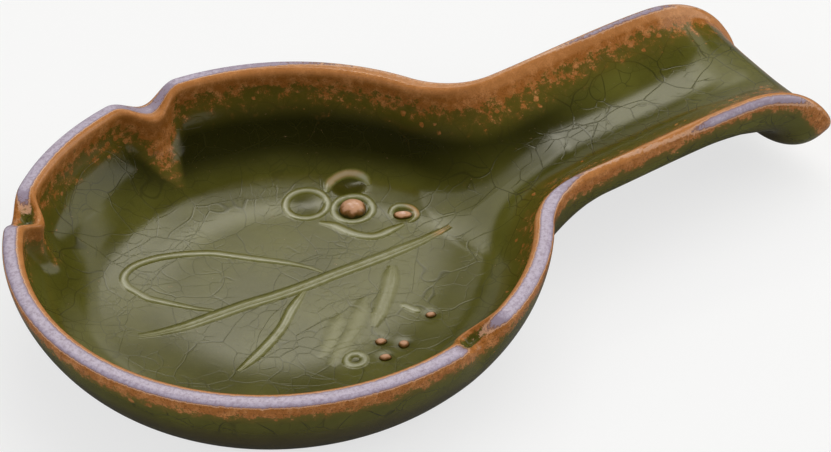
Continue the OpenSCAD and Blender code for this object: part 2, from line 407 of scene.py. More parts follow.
    def _rim(self, layout: Layout, wall: Array) -> list[Array]:
        """Rounds the rim off: its inner edge, its top and its outer edge.

        Args:
            layout: What the sections run between.
            wall: The wall's points; the trough's last ones are moved to ease it into the rim.

        Returns:
            The inner edge's points, the top's and the outer edge's.
        """
        press, k, r, n = layout.press, column(layout.trough), self.rim_round, self.steps
        turn = np.linspace(0.0, math.pi / 2, n.edge + 1)[None, :]
        level = -press.drop - r * (1.0 - np.sin(turn))
        in_by = r * (1.0 - np.cos(turn))
        none = np.zeros_like(k) * turn
        inner_edge = layout.place(layout.inner, none,
                                  in_by - press.bulge - self._lean(r, k), level)
        outer_edge = layout.place(layout.outer(self.rim_w), none, -in_by - press.dent,
                                  level)[:, ::-1]
        knee = n.wall - self.trough_knee
        eased = self._eased(wall[:, knee - 1], wall[:, knee], layout.out,
                            self.trough_knee + n.edge + 1)
        plain = np.concatenate([wall[:, knee:], inner_edge], axis=1)
        eased = mix(plain, eased, k[:, :, None])
        wall[:, knee:], inner_edge = np.split(eased, [self.trough_knee], axis=1)
        share = np.linspace(0.0, 1.0, n.top + 2)[None, 1:-1, None]
        top = mix(inner_edge[:, -1:], outer_edge[:, :1], share)
        top[:, :, 2] -= press.pool * np.sin(np.pi * share[:, :, 0])
        return [inner_edge, top, outer_edge]

    def _outside(self, layout: Layout) -> list[Array]:
        """Lays the outer wall and the underside.

        Args:
            layout: What the sections run between.

        Returns:
            The wall's points, and the underside's.
        """
        press, k, r = layout.press, column(layout.trough), self.rim_round
        run, high = column(layout.runs[1]), column(layout.depths[1])
        turn = np.linspace(0.0, math.pi / 2, self.steps.outside + 1)[None, 1:]
        power = mix(self.bowl_outer_power, self.trough_outer_power, k)
        down = np.sin(turn) ** (2.0 / power)
        back = 1.0 - np.maximum(np.cos(turn), 0.0) ** (2.0 / power)
        fade = (1.0 - down) ** 2
        wall = layout.place(layout.outer(self.rim_w), run * back, -press.dent * fade,
                            -r - press.drop * fade - (high - r) * down)
        share = np.linspace(0.0, 1.0, self.steps.under + 1)[None, 1:, None]
        return [wall, mix(wall[:, -1:], layout.on_axis(high), share)]

    def _eased(self, below: Array, start: Array, out: Array, count: int) -> Array:
        """Rounds a wall that comes up aslant off into the rim's top, by a quadratic curve.

        Args:
            below: The wall's points just below the place where the rounding starts.
            start: The points where it starts.
            out: The directions out across the rim, in plan.
            count: How many points the rounding has.

        Returns:
            The rounding's points, sections by points by coordinates.
        """
        way = start - below
        step = -way * (start[:, 2:] / np.maximum(way[:, 2:], TINY))
        length = np.linalg.norm(step[:, :2], axis=1, keepdims=True)
        step[:, :2] *= np.minimum(1.0, self.trough_reach / np.maximum(length, TINY))
        corner = start + step
        end = corner + np.pad(out, ((0, 0), (0, 1))) * self.trough_edge
        t = np.linspace(0.0, 1.0, count)[None, :, None]
        start, corner, end = start[:, None], corner[:, None], end[:, None]
        return start * (1.0 - t) ** 2 + corner * 2.0 * t * (1.0 - t) + end * t ** 2

    def deep(self, points: Array) -> Array:
        """Says where shade is painted dark: low on the far wall.

        Args:
            points: Points of the inside.

        Returns:
            The painted shade's share, 0 to 1.
        """
        x, y, z = np.moveaxis(points, -1, 0)
        turn = math.radians(self.shade_turn)
        towards = x * math.cos(turn) + y * math.sin(turn)
        return (ramp(z - self.floor_z, self.shade_heights) * ramp(towards, self.shade_towards)
                * (1.0 - ramp(x, self.shade_ends)))

    def rim_distance(self, points: Array) -> Array:
        """Measures along each section from the rim's middle.

        Args:
            points: Sections by points by coordinates.

        Returns:
            The distances, below zero inside and above zero outside.
        """
        steps = np.linalg.norm(np.diff(points, axis=1), axis=2)
        walked = np.concatenate([np.zeros((len(points), 1)), np.cumsum(steps, axis=1)], axis=1)
        return walked - walked[:, self.steps.rim:self.steps.rim + 1]


@dataclass(frozen=True)
class GlazeBreak:
    """Where the glaze breaks: rust below the rim's edges, and a painted highlight along its top.

    The distances are in millimetres down from the rim's edges. Pairs of shifts and slides are
    for the far and the near side. The level tables give how level the rim is, by the place
    along the axis, and so how much of the band is painted pale as a highlight; where it is
    less level, the band is narrower and slides across the rim, outwards far and inwards near.
    The pool values say how green glaze fills a notch's rim in place of rust.
    """

    rust_inside: float = 4.6
    spots_inside: float = 15.5
    rust_outside: float = 2.8
    spots_outside: float = 6.0
    handle_solid: float = 0.62
    handle_spots: float = 0.85
    handle_shifts: Point = (-0.1, 1.7)
    handle_from: Point = (60.0, 105.0)
    near_reach: Table = ((10, 1), (40, 1.6), (66, 1.6), (84, 1))
    rim_half: float = 2.6
    band_half: float = 1.7
    band_least: float = 0.12
    band_fades: float = 0.5
    band_shift: float = 0.7
    band_slides: Point = (1.0, -3.9)
    band_on_handle: float = 0.8
    # How strongly the painted highlight on the rim's top shows, by how level the rim is.
    highlight_gain: float = 1.1
    highlight_power: float = 1.3
    pool_gain: float = 1.6
    pool_least: float = 0.3
    pool_power: float = 0.7
    pool_bare: float = 1.1
    outside_run: float = 22.0
    # How level the rim lies along the axis, which sets the painted highlight on its top.
    far_level: Table = (
        (-70, 1), (0, 1), (25, 0.8), (48, 0.4), (86, 0.36), (104, 0.66), (126, 0.72), (134, 0.45),
        (150, 0.3))
    near_level: Table = (
        (-70, 1), (56, 1), (66, 0.8), (76, 0.42), (101, 0.42), (110, 0.88), (138, 0.8),
        (146, 0.35), (150, 0.3))

    def fields(
        self, distance: Array, places: Array, side: Array, press: Press
    ) -> tuple[Array, Array]:
        """Works out the glaze's fields for sections along the rim.

        Args:
            distance: Distances along the sections from the rim's middle.
            places: Each section's place along the axis, at its rim.
            side: Each section's side, by the sign of Y.
            press: What the notches do to the sections.

        Returns:
            The rust field, 1 solid to 0 none, and the painted highlight, 1 pale to 0 none.
        """
        down = np.maximum(np.abs(distance) - self.rim_half, 0.0)
        inside, is_far = distance < 0.0, side > 0.0
        along = column(ramp(places, self.handle_from))
        reach = column(np.where(is_far, 1.0, look_up(self.near_reach, places)))
        solid = np.where(inside, self.rust_inside * reach + press.rust_run, self.rust_outside)
        spots = np.where(inside, self.spots_inside * reach + press.rust_run, self.spots_outside)
        solid = solid * mix(1.0, self.handle_solid, along)
        spots = spots * mix(1.0, self.handle_spots, along)
        run = np.where(down < solid, solid, spots - solid)
        rust = unit(0.5 + 0.5 * (solid - down) / run)

        # The pale band along the rim's top is a painted highlight, widest and strongest where the
        # rim lies level.
        level = column(np.where(is_far, look_up(self.far_level, places),
                                look_up(self.near_level, places)))
        width = (self.band_half * mix(self.band_least, 1.0, level)
                 * mix(1.0, self.band_on_handle, along))
        slide = column(np.where(is_far, *self.band_slides)) * (1.0 - along)
        shift = mix(self.band_shift, column(np.where(is_far, *self.handle_shifts)), along)
        across = np.abs(distance - shift - slide * (1.0 - level))
        pale = unit(0.5 + (width - across) / (2.0 * self.band_fades))
        pale = pale * np.minimum(1.0, self.highlight_gain * level ** self.highlight_power)
        pale = pale * unit(1.0 - press.strength * (1.0 - unit(press.pale)))

        pooled = unit(press.strength * (1.0 - press.pale) * self.pool_gain - self.pool_least)
        middle = unit(1.0 - np.abs(distance) / self.rim_half) ** self.pool_power
        return unit(rust * (1.0 - pooled * middle * self.pool_bare)), pale

    def outside(self, distance: Array) -> Array:
        """Gives the field that goes from 0 at the rim to 1 down the outside."""
        return smooth(distance / self.outside_run)


def placed(name: str, data: bpy.types.ID) -> Thing:
    """Puts a new object into the scene, at the origin.

    Args:
        name: The object's name.
        data: Its mesh, curve, lamp or camera.

    Returns:
        The object.
    """
    made = bpy.data.objects.new(name, data)
    bpy.context.scene.collection.objects.link(made)
    return made


@dataclass
class Skin:
    """A mesh in the making: points in millimetres, faces, and its glaze fields."""

    points: Array
    faces: Faces
    fields: dict[str, Array] = field(default_factory=dict)
    flat: Faces = field(default_factory=list)

    @classmethod
    def of(
        cls, points: Array, faces: Faces, fields: dict[str, Array], flat: Faces = (),
        closing: Faces = (),
    ) -> "Skin":
        """Drops the points that no face uses.

        Args:
            points: The points.
            faces: The faces, shaded smooth.
            fields: The glaze fields, a value a point.
            flat: Faces shaded flat.
            closing: Faces of many corners, shaded smooth.

        Returns:
            The skin.
        """
        every = [*faces, *closing, *flat]
        used = np.unique(np.concatenate([np.array(face) for face in every]))
        new = np.full(len(points), -1)
        new[used] = np.arange(len(used))
        table = new.tolist()

        def renamed(old: Faces) -> Faces:
            """Gives faces their points' new numbers."""
            return [tuple(table[i] for i in face) for face in old]

        kept = {key: np.ravel(values)[used] for key, values in fields.items()}
        return cls(points[used], renamed([*faces, *closing]), kept, renamed(flat))

    def as_object(self, name: str) -> Thing:
        """Makes the object, shaded smooth but for its flat faces.

        Args:
            name: The object's name.

        Returns:
            The object, in the scene.
        """
        mesh = bpy.data.meshes.new(name)
        mesh.from_pydata((self.points * MM).tolist(), [], [*self.faces, *self.flat])
        smooth_faces = [True] * len(self.faces) + [False] * len(self.flat)
        mesh.polygons.foreach_set("use_smooth", smooth_faces)
        for key, values in self.fields.items():
            layer = mesh.attributes.new(key, "FLOAT", "POINT")
            layer.data.foreach_set("value", values.astype(np.float32).ravel())
        edges = {tuple(sorted(pair)) for face in self.flat
                 for pair in zip(face, face[1:] + face[:1])}
        if edges:
            sharp = mesh.attributes.new("sharp_edge", "BOOLEAN", "EDGE")
            for edge in mesh.edges:
                sharp.data[edge.index].value = tuple(sorted(edge.vertices)) in edges
            self._cut_large(mesh)
        mesh.validate()
        mesh.update()
        return placed(name, mesh)

    @staticmethod
    def _cut_large(mesh: bpy.types.Mesh) -> None:
        """Cuts faces of many corners into triangles.

        Args:
            mesh: The mesh, which is changed.
        """
        work = bmesh.new()
        work.from_mesh(mesh)
        many = [face for face in work.faces if len(face.verts) > 4]
        bmesh.ops.triangulate(work, faces=many, ngon_method="EAR_CLIP")
        work.to_mesh(mesh)
        work.free()


def skin_faces(index: Array) -> Faces:
    """Lists the faces between neighbouring rows and columns of point numbers.

    Args:
        index: The point numbers; equal neighbours make a triangle, or no face.

    Returns:
        The faces, turned outwards where the rows go round the piece from its near side.
    """
    quads = np.stack([index[:-1, :-1], index[1:, :-1], index[1:, 1:], index[:-1, 1:]], axis=2)
    faces = (tuple(dict.fromkeys(quad)) for quad in quads.reshape(-1, 4).tolist())
    return [face for face in faces if len(face) > 2]


def dress(piece: Thing, material: Material, slot: Slot, *nodes: str) -> None:
    """Gives a piece its finish, and says what it stands for.

    Args:
        piece: The piece.
        material: Its material.
        slot: Not used; the record's slot that the material belongs to.
        nodes: The CAD nodes that the piece replaces.
    """
    piece.data.materials.clear()
    piece.data.materials.append(material)
    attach(piece, BODY)
    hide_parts(*nodes)
    triangles = sum(len(face.vertices) - 2 for face in piece.data.polygons)
    log.info("%s: %d triangles, stands for %s", piece.name, triangles, ", ".join(nodes))


@dataclass
class Bowl:
    """The thrown bowl up to the neck, with its pressed notches."""

    form: ClayForm
    glaze_break: GlazeBreak
    sprig: "Sprig"
    notches: tuple[Notch, ...] = (
        Notch(95.8, before=9.0, after=9.0, drop=3.6, bulge=4.4, dent=1.6, pool=0.3, pale=0.8,
              rust_run=11.0),
        Notch(146.2, before=8.5, after=6.5, drop=3.2, bulge=3.8, dent=0.6, rust_run=3.0),
        Notch(-71.0, bulge=4.6, rust_run=2.0),
    )
    arc_steps: int = 240
    fillet_steps: int = 46
    axis_start_turn: float = 100.0
    axis_at_neck: float = 0.62
    axis_power: float = 1.6
    hollow_full: float = 0.2

    def _stations(self) -> dict[str, Array]:
        """Lists the stations round the rim, from the neck's near side to its far side.

        Returns:
            Their inner rim points, directions out, axis places, shares into the neck, turns
            and sides.
        """
        form = self.form
        turns = np.linspace(-form.neck_turn, -180.0, self.arc_steps + 1)
        turns = np.concatenate([turns, -turns[-2::-1]])
        angle = np.radians(turns)
        arc_dir = np.stack([np.cos(angle), np.sin(angle)], axis=1)
        share = unit((self.axis_start_turn - np.abs(turns))
                     / (self.axis_start_turn - form.neck_turn))
        arc_axis = form.neck_x * self.axis_at_neck * share ** self.axis_power
        t = np.arange(1, self.fillet_steps + 1) / self.fillet_steps
        turn = np.radians(180.0 + mix(form.neck_turn, 90.0, t))
        far = np.stack([form.neck_x + form.neck_r * np.cos(turn),
                        form.fillet_y + form.neck_r * np.sin(turn)], axis=1)
        far_dir = np.stack([-np.cos(turn), -np.sin(turn)], axis=1)
        flip = np.array([1.0, -1.0])
        pace = form.neck_r * math.radians(90.0 - form.neck_turn)
        ease = 1.0 - pace / (form.neck_x * (1.0 - self.axis_at_neck))
        neck_axis = form.neck_x * mix(self.axis_at_neck, 1.0, t + ease * t * (1.0 - t))
        none = np.zeros_like(t)
        parts = {
            "inner": (far * flip, form.bowl_r * arc_dir, far),
            "out": (far_dir * flip, arc_dir, far_dir),
            "axis": (neck_axis, arc_axis, neck_axis),
            "neck": (smooth(t), np.zeros_like(turns), smooth(t)),
            "turn": (none, turns, none),
            "side": (none - 1.0, np.sign(turns), none + 1.0),
        }
        return {key: np.concatenate([near[::-1], arc, opposite])
                for key, (near, arc, opposite) in parts.items()}

    def skin(self) -> Skin:
        """Builds the bowl's closed skin.

        Returns:
            The skin, whose neck is closed by one flat face.
        """
        form = self.form
        at = self._stations()
        inner, out, neck = at["inner"], at["out"], at["neck"]
        axis = np.stack([at["axis"], np.zeros_like(neck)], axis=1)
        press = Press.of(self.notches, at["turn"])
        top = form.rim_z(np.maximum(inner[:, 0], 0.0))
        to_axis = np.linalg.norm(axis - inner, axis=1) * form.trough_curved
        to_axis_out = np.linalg.norm(axis - inner - out * form.rim_w, axis=1) * form.under_curved
        runs = (mix(form.wall_run, to_axis, neck), mix(form.outer_run, to_axis_out, neck))
        depths = (top - form.floor_line(at["axis"]), top - form.under_line(at["axis"]))
        points = form.sections(Layout(inner, out, axis, runs, depths, neck, press))
        points[:, :, 2] += column(top)
        distance = form.rim_distance(points)
        rust, pale = self.glaze_break.fields(distance, inner[:, 0], at["side"], press)
        hollow = np.where(distance < 0.0, self.sprig.hollow(points[:, :, :2]), 0.0)
        points[:, :, 2] -= hollow
        # The deep field marks where shade is painted dark, low on the far wall.
        fields = {"rust": rust, "pale": pale, "outside": self.glaze_break.outside(distance),
                  "hollow": smooth(hollow / self.hollow_full),
                  "deep": np.where(distance < 0.0, form.deep(points), 0.0)}

        # Sections that face each other share their points on the axis.
        count, n = len(points), form.steps.count
        index = np.arange(count * n).reshape(count, n)
        middle = (count - 1) // 2
        shared = np.where(at["axis"] == 0.0, middle,
                          np.minimum(np.arange(count), np.arange(count)[::-1]))
        index[:, 0], index[:, -1] = index[shared, 0], index[shared, -1]
        faces = skin_faces(index)
        cap = index[-1, :-1].tolist() + index[0, :0:-1].tolist()
        return Skin.of(points.reshape(-1, 3), faces, fields, [tuple(cap[::-1])])

    def build(self, glaze: Material) -> Thing:
        """Makes the bowl and dresses it.

        Args:
            glaze: The glaze's material.

        Returns:
            The bowl.
        """
        piece = self.skin().as_object("glazed_bowl")
        dress(piece, glaze, Slot.GLAZE, "bowl")
        return piece


@dataclass
class Handle:
    """The trough-shaped handle, from the neck over its curl to the rounded lip.

    The rim line curls down by curl_turn and ends in the lip, which is rounded by nearly a
    quarter turn. The trough gets shallower along it, down to tip_depth below the rim, at the
    pace of curl_rise and curl_bend in the curl. bend_fill thickens the underside at the bend.
    """

    form: ClayForm
    glaze_break: GlazeBreak
    curl_r: float = 30.5
    curl_turn: float = 60.0
    tip_corner_r: float = 11.5
    tip_power: float = 2.4
    lip_t: float = 15.6
    bend_fill: float = 1.8
    bend_fill_l: float = 20.0
    tip_depth: float = 2.5
    shallow: float = 1.6
    shallow_from: float = 84.0
    shallow_power: int = 3
    curl_rise: float = 0.1
    curl_bend: float = 0.0109
    fill_round: float = 8.0
    fill_middle: float = 0.4
    tip_fade: float = 0.6
    lip_last_turn: float = 87.0
    tip_rust: float = 18.5
    tip_rust_out: float = 4.5
    tip_rust_fade: float = 4.0
    tip_rust_share: float = 0.85
    level_pace: float = 4.0
    straight_steps: int = 76
    curl_steps: int = 44
    lip_steps: int = 22

    @property
    def lip_r(self) -> float:
        """Gives the radius of the rounded lip."""
        return self.lip_t / 2.0

    @property
    def tip_l(self) -> float:
        """Gives the length along the rim from the curl's start to the tip's end."""
        return self.curl_r * math.radians(self.curl_turn) + self.lip_r

    def _frames(self) -> Array:
        """Lists the frames along the rim line.

        Returns:
            Rows of x, z, turn in radians, distance on to the tip's end, and the lip's thinning.
        """
        form = self.form
        x = np.linspace(form.neck_x, form.curl_x, self.straight_steps + 1)
        straight = np.stack([x, form.rim_z(x), 0.0 * x, form.curl_x - x + self.tip_l,
                             0.0 * x + 1.0], axis=1)
        turn = np.radians(np.linspace(0.0, self.curl_turn, self.curl_steps + 1))[1:]
        start_z = float(form.rim_z(np.array(form.curl_x)))
        curl = np.stack([form.curl_x + self.curl_r * np.sin(turn),
                         start_z - self.curl_r * (1.0 - np.cos(turn)), turn,
                         self.tip_l - self.curl_r * turn, 0.0 * turn + 1.0], axis=1)
        thin = np.radians(np.linspace(0.0, self.lip_last_turn, self.lip_steps + 1))[1:]
        on = self.lip_r * np.sin(thin)
        last = curl[-1]
        lip = np.stack([last[0] + on * np.cos(last[2]), last[1] - on * np.sin(last[2]),
                        0.0 * on + last[2], self.lip_r - on,
                        (1.0 - np.sin(thin) ** self.tip_power) ** (1.0 / self.tip_power)], axis=1)
        return np.concatenate([straight, curl, lip])

    def _sections(self, frames: Array, side: Side) -> tuple[Array, Array, Array]:
        """Lays one side's sections in the frames.

        Args:
            frames: The frames along the rim line.
            side: The handle's side.

        Returns:
            The points, their distances from the rim's middle, and each section's distance on
            to the tip's end.
        """
        form = self.form
        x, z, turn, to_end, thin = frames.T
        corner = unit(1.0 - to_end / self.tip_corner_r) ** self.tip_power
        half = form.trough_half - self.tip_corner_r * (
            1.0 - np.maximum(1.0 - corner, 0.0) ** (1.0 / self.tip_power))
        fade = smooth((self.tip_l - to_end) / self.tip_l / self.tip_fade)
        before = to_end > self.tip_l
        up = unit((x - self.shallow_from) / (form.curl_x - self.shallow_from))
        on = np.maximum(self.tip_l - to_end, 0.0)
        over = (form.trough_depth - self.shallow - self.tip_depth
                - on * (self.curl_rise + on * self.curl_bend))
        soft = np.minimum(on / self.fill_round, 1.0)
        over = (over + np.sqrt(over ** 2 + soft ** 2)) / 2.0
        depth = np.where(before, z - form.floor_line(x) - self.shallow * up ** self.shallow_power,
                         self.tip_depth + over)
        high = np.where(before, z - form.under_line(x), mix(form.handle_t, self.lip_t, fade))
        bend = np.minimum(1.0, np.abs((self.tip_l - to_end) / self.bend_fill_l
                                      - self.fill_middle))
        high = high + self.bend_fill * (1.0 + np.cos(np.pi * bend)) / 2.0
        flat = np.zeros_like(half)
        inner = np.stack([flat, side.value * half], axis=1)
        out = np.stack([flat, flat + side.value], axis=1)
        runs = (half * form.trough_curved, (half + form.rim_w) * form.under_curved)
        points = form.sections(Layout(inner, out, np.stack([flat, flat], axis=1), runs,
                                      (depth, high), flat + 1.0, Press.none(len(frames))))
        distance = form.rim_distance(points)
        middle = column(high) / 2.0
        w = middle + (-points[:, :, 2] - middle) * column(thin)
        points = np.stack([column(x) - w * np.sin(column(turn)), points[:, :, 1],
                           column(z) - w * np.cos(column(turn))], axis=2)
        return points, distance, column(to_end)

    def _fields(self, points: Array, distance: Array, to_end: Array, along: Array,
                side: Side) -> dict[str, Array]:
        """Works out the glaze's fields for one side's sections.

        Args:
            points: The points.
            distance: Their distances from the rim's middle.
            to_end: Each section's distance on to the tip's end.
            along: Each section's place along the axis, which runs on in the curl.
            side: The handle's side.

        Returns:
            The fields by name.
        """
        count = len(points)
        rust, pale = self.glaze_break.fields(
            distance, along, np.full(count, side.value), Press.none(count))
        lip = smooth((self.tip_rust - to_end) / self.tip_rust_fade)
        lip = lip * (1.0 - smooth((distance - self.tip_rust_out) / self.tip_rust_fade))
        # The deep field marks where shade is painted dark, low on the far wall.
        return {"rust": np.maximum(rust, lip * self.tip_rust_share), "pale": pale,
                "deep": np.where(distance < 0.0, self.form.deep(points), 0.0),
                "outside": self.glaze_break.outside(distance)}

    def skin(self) -> Skin:
        """Builds the handle's closed skin.

        Returns:
            The skin, with a flat face at the neck.
        """
        frames = self._frames()
        along = frames[:, 0] + np.maximum(0.0, frames[:, 2]) * self.level_pace
        rows, fields = [], []
        for side in Side:
            points, distance, to_end = self._sections(frames, side)
            order = slice(None) if side is Side.FAR else slice(self.form.steps.count - 2, 0, -1)
            rows.append(points[:, order])
            found = self._fields(points, distance, to_end, along, side)
            fields.append({key: values[:, order] for key, values in found.items()})
        points = np.concatenate(rows, axis=1)
        index = np.arange(points.shape[0] * points.shape[1]).reshape(points.shape[:2])
        closed = np.concatenate([index, index[:, :1]], axis=1)
        faces = skin_faces(closed)
        caps = [tuple(index[0, ::-1].tolist()), tuple(index[-1].tolist())]
        joined = {key: np.concatenate([part[key] for part in fields], axis=1)
                  for key in fields[0]}
        return Skin.of(points.reshape(-1, 3), faces, joined, caps[:1], caps[1:])

    def build(self, glaze: Material) -> Thing:
        """Makes the handle and dresses it.

        Args:
            glaze: The glaze's material.

        Returns:
            The handle.
        """
        piece = self.skin().as_object("trough_handle")
        dress(piece, glaze, Slot.GLAZE, "handle")
        return piece


class NodeMaker:
    """Adds nodes to one node tree and links them."""

    def __init__(self, tree: bpy.types.NodeTree) -> None:
        """Starts with a tree."""
        self.tree = tree

    def add(self, kind: str, **sockets: object) -> bpy.types.Node:
        """Adds a node, sets its properties and its input sockets, and links them.

        Args:
            kind: The node's type.
            sockets: Input sockets by name, with _ for a blank, or by number as i0, i1; a name
                that begins with p_ is a property.

        Returns:
            The node.
        """
        node = self.tree.nodes.new(kind)
        for name, value in sockets.items():
            if name.startswith("p_"):
                setattr(node, name[2:], value)
        for name, value in sockets.items():
            if not name.startswith("p_"):
                numbered = name[0] == "i" and name[1:].isdigit()
                key = int(name[1:]) if numbered else name.replace("_", " ")
                self.give(node.inputs[key], value)
        return node

    def give(self, entry: Socket, value: object) -> None:
        """Gives a node's input its value, by a link or as a constant.

        Args:
            entry: The input.
            value: Another node's output, or a constant; a colour's has three shares.
        """
        if isinstance(value, Socket):
            self.tree.links.new(value, entry)
        elif entry.type == "RGBA":
            entry.default_value = (*value, 1.0)
        else:
            entry.default_value = value

    def math(self, operation: str, *values: Value) -> Socket:
        """Joins values by Math nodes, from left to right.

        Args:
            operation: The operation.
            values: Two values or more.

        Returns:
            The result.
        """
        result = values[0]
        for value in values[1:]:
            node = self.add("ShaderNodeMath", p_operation=operation, i0=result, i1=value)
            result = node.outputs[0]
        return result

    def plus(self, *values: Value) -> Socket:
        """Adds values up."""
        return self.math("ADD", *values)

    def minus(self, a: Value, b: Value) -> Socket:
        """Takes b from a."""
        return self.math("SUBTRACT", a, b)

    def times(self, *values: Value) -> Socket:
        """Multiplies values."""
        return self.math("MULTIPLY", *values)

    def least(self, *values: Value) -> Socket:
        """Gives the least of several values."""
        return self.math("MINIMUM", *values)

    def most(self, *values: Value) -> Socket:
        """Gives the greatest of several values."""
        return self.math("MAXIMUM", *values)

    def vector(self, operation: str, a: Value, b: Value = (0.0, 0.0, 0.0),
               **sockets: object) -> Socket:
        """Adds a Vector Math node and gives its output."""
        return self.add("ShaderNodeVectorMath", p_operation=operation, i0=a, i1=b,
                        **sockets).outputs[0]

    def axes(self, place: Socket) -> list[Socket]:
        """Takes a place apart into x, y and z."""
        return list(self.add("ShaderNodeSeparateXYZ", Vector=place).outputs)

    def joined(self, x: Value, y: Value, z: Value) -> Socket:
        """Joins x, y and z into one vector."""
        return self.add("ShaderNodeCombineXYZ", X=x, Y=y, Z=z).outputs[0]


class TreeMaker(NodeMaker):
    """Makes one Geometry Nodes tree, which starts from a host mesh and has named inputs.

    The rays that find the bowl start above it and reach past it; both are in metres.
    """

    RAY_FROM = 0.2
    RAY_LENGTH = 0.4

    def __init__(self, name: str, **inputs: str) -> None:
        """Starts a tree.

        Args:
            name: The tree's name.
            inputs: The kind of each input, such as Float or Object, by the input's name.
        """
        super().__init__(bpy.data.node_groups.new(name, "GeometryNodeTree"))
        self.tree.is_modifier = True
        self.inputs: dict[str, str] = {}
        sockets = self.tree.interface
        for label, kind in {"Geometry": "Geometry", **inputs}.items():
            made = sockets.new_socket(name=label, in_out="INPUT", socket_type=f"NodeSocket{kind}")
            self.inputs[label] = made.identifier
        sockets.new_socket(name="Geometry", in_out="OUTPUT", socket_type="NodeSocketGeometry")
        self.source = self.tree.nodes.new("NodeGroupInput").outputs

    def drape(self, mesh: Socket) -> Socket:
        """Lets a mesh down on the input Base, and keeps its height there as its crest.

        Args:
            mesh: The mesh, lying on the plane of z zero.

        Returns:
            The draped mesh.
        """
        x, y, z = self.axes(self.add("GeometryNodeInputPosition").outputs[0])
        share = self.times(self.math("DIVIDE", z, self.source["Height"]), self.source["Tone"])
        stored = self.add("GeometryNodeStoreNamedAttribute", p_data_type="FLOAT",
                          p_domain="POINT", Geometry=mesh, Name="crest", Value=share)
        base = self.add("GeometryNodeObjectInfo", Object=self.source["Base"])
        hit = self.add("GeometryNodeRaycast", p_data_type="FLOAT",
                       Target_Geometry=base.outputs["Geometry"],
                       Source_Position=self.joined(x, y, self.RAY_FROM),
                       Ray_Direction=(0.0, 0.0, -1.0), Ray_Length=self.RAY_LENGTH).outputs
        up = self.vector("SCALE", hit["Hit Normal"], Scale=z)
        return self.add("GeometryNodeSetPosition", Geometry=stored.outputs[0],
                        Position=self.vector("ADD", hit["Hit Position"], up)).outputs[0]

    def finish(self, geometry: Socket) -> None:
        """Ends the tree: real instances, the material, the output.

        Args:
            geometry: The socket that the finished geometry comes from.
        """
        real = self.add("GeometryNodeRealizeInstances", Geometry=geometry)
        dressed = self.add("GeometryNodeSetMaterial", Geometry=real.outputs[0],
                           Material=self.source["Material"])
        self.add("NodeGroupOutput", i0=dressed.outputs[0])

    def run(self, name: str, host: bpy.types.Mesh, **values: object) -> Thing:
        """Runs the tree on a host mesh and keeps the result as a plain mesh.

        Args:
            name: The finished object's name.
            host: The mesh that the tree starts from.
            values: The tree's inputs by name.

        Returns:
            The finished object, at the origin and without a modifier.
        """
        piece = placed(name, host)
        modifier = piece.modifiers.new("form", "NODES")
        modifier.node_group = self.tree
        for key, value in values.items():
            modifier[self.inputs[key]] = value
        graph = bpy.context.evaluated_depsgraph_get()
        made = bpy.data.meshes.new_from_object(
            piece.evaluated_get(graph), preserve_all_data_layers=True, depsgraph=graph)
        piece.modifiers.remove(modifier)
        piece.data = made
        made.name = name
        bpy.data.meshes.remove(host)
        return piece


def path_mesh(points: Array, closed: bool = False) -> bpy.types.Mesh:
    """Makes a mesh of edges along a path.

    Args:
        points: The path's points in millimetres.
        closed: Whether the path closes into a ring.

    Returns:
        The mesh.
    """
    count = len(points)
    edges = [(i, i + 1) for i in range(count - 1)] + ([(count - 1, 0)] if closed else [])
    mesh = bpy.data.meshes.new("path")
    mesh.from_pydata((np.asarray(points) * MM).tolist(), edges, [])
    return mesh


def outline(name: str, points: list[Point]) -> Thing:
    """Makes a closed outline that a tree sweeps along a path; it is taken away at the end.

    Args:
        name: The outline's name.
        points: Its points, in the tree's own unit.

    Returns:
        The outline, a flat curve.
    """
    curve = bpy.data.curves.new(name, "CURVE")
    curve.dimensions = "3D"
    spline = curve.splines.new("POLY")
    spline.points.add(len(points) - 1)
    for point, (x, y) in zip(spline.points, points):
        point.co = (x, y, 0.0, 1.0)
    spline.use_cyclic_u = True
    return placed(name, curve)


def smooth_by_angle(piece: Thing, degrees: float) -> None:
    """Shades a piece smooth, but for the edges that turn more than an angle."""
    piece.data.shade_smooth()
    piece.data.set_sharp_from_angle(angle=math.radians(degrees))


@dataclass
class FootRing:
    """The bare ring that the bowl stands on, with rounded edges."""

    form: ClayForm
    inset: float = 3.0
    width: float = 5.0
    round_r: float = 0.6
    round_steps: int = 6
    points: int = 240
    sharp_turn: float = 50.0

    def _section(self) -> list[Point]:
        """Gives the ring's section, its two lower edges rounded, counted from its middle.

        Returns:
            The points, from the right lower edge round over the top.
        """
        half, high, r = self.width / 2.0, self.form.foot_h, self.round_r

        def edge(x: float, start: float) -> list[Point]:
            """Rounds an edge by a quarter turn about the point at x."""
            turns = np.radians(start + np.linspace(0.0, 90.0, self.round_steps + 1))
            return [(x + r * math.cos(turn), r + r * math.sin(turn)) for turn in turns]

        return [*edge(half - r, -90.0), (half, high), (-half, high), *edge(r - half, -180.0)]

    def build(self, clay: Material) -> Thing:
        """Sweeps the section round the ring and dresses it.

        Args:
            clay: The bare clay's material.

        Returns:
            The ring.
        """
        maker = TreeMaker("swept_ring", Radius="Float", Section="Object", Material="Material")
        circle = maker.add("GeometryNodeCurvePrimitiveCircle", Resolution=self.points,
                           Radius=maker.source["Radius"])
        section = maker.add("GeometryNodeObjectInfo", Object=maker.source["Section"])
        swept = maker.add("GeometryNodeCurveToMesh", Curve=circle.outputs["Curve"],
                          Profile_Curve=section.outputs["Geometry"])
        maker.finish(swept.outputs["Mesh"])
        middle = self.form.base_r - self.inset - self.width / 2.0
        shape = outline("ring_section", [(-x * MM, -z * MM) for x, z in self._section()])
        piece = maker.run("bare_foot_ring", path_mesh(np.zeros((1, 3))), Radius=middle * MM,
                          Section=shape, Material=clay)
        bpy.data.objects.remove(shape)
        smooth_by_angle(piece, self.sharp_turn)
        dress(piece, clay, Slot.BARE_CLAY, "foot_ring")
        return piece


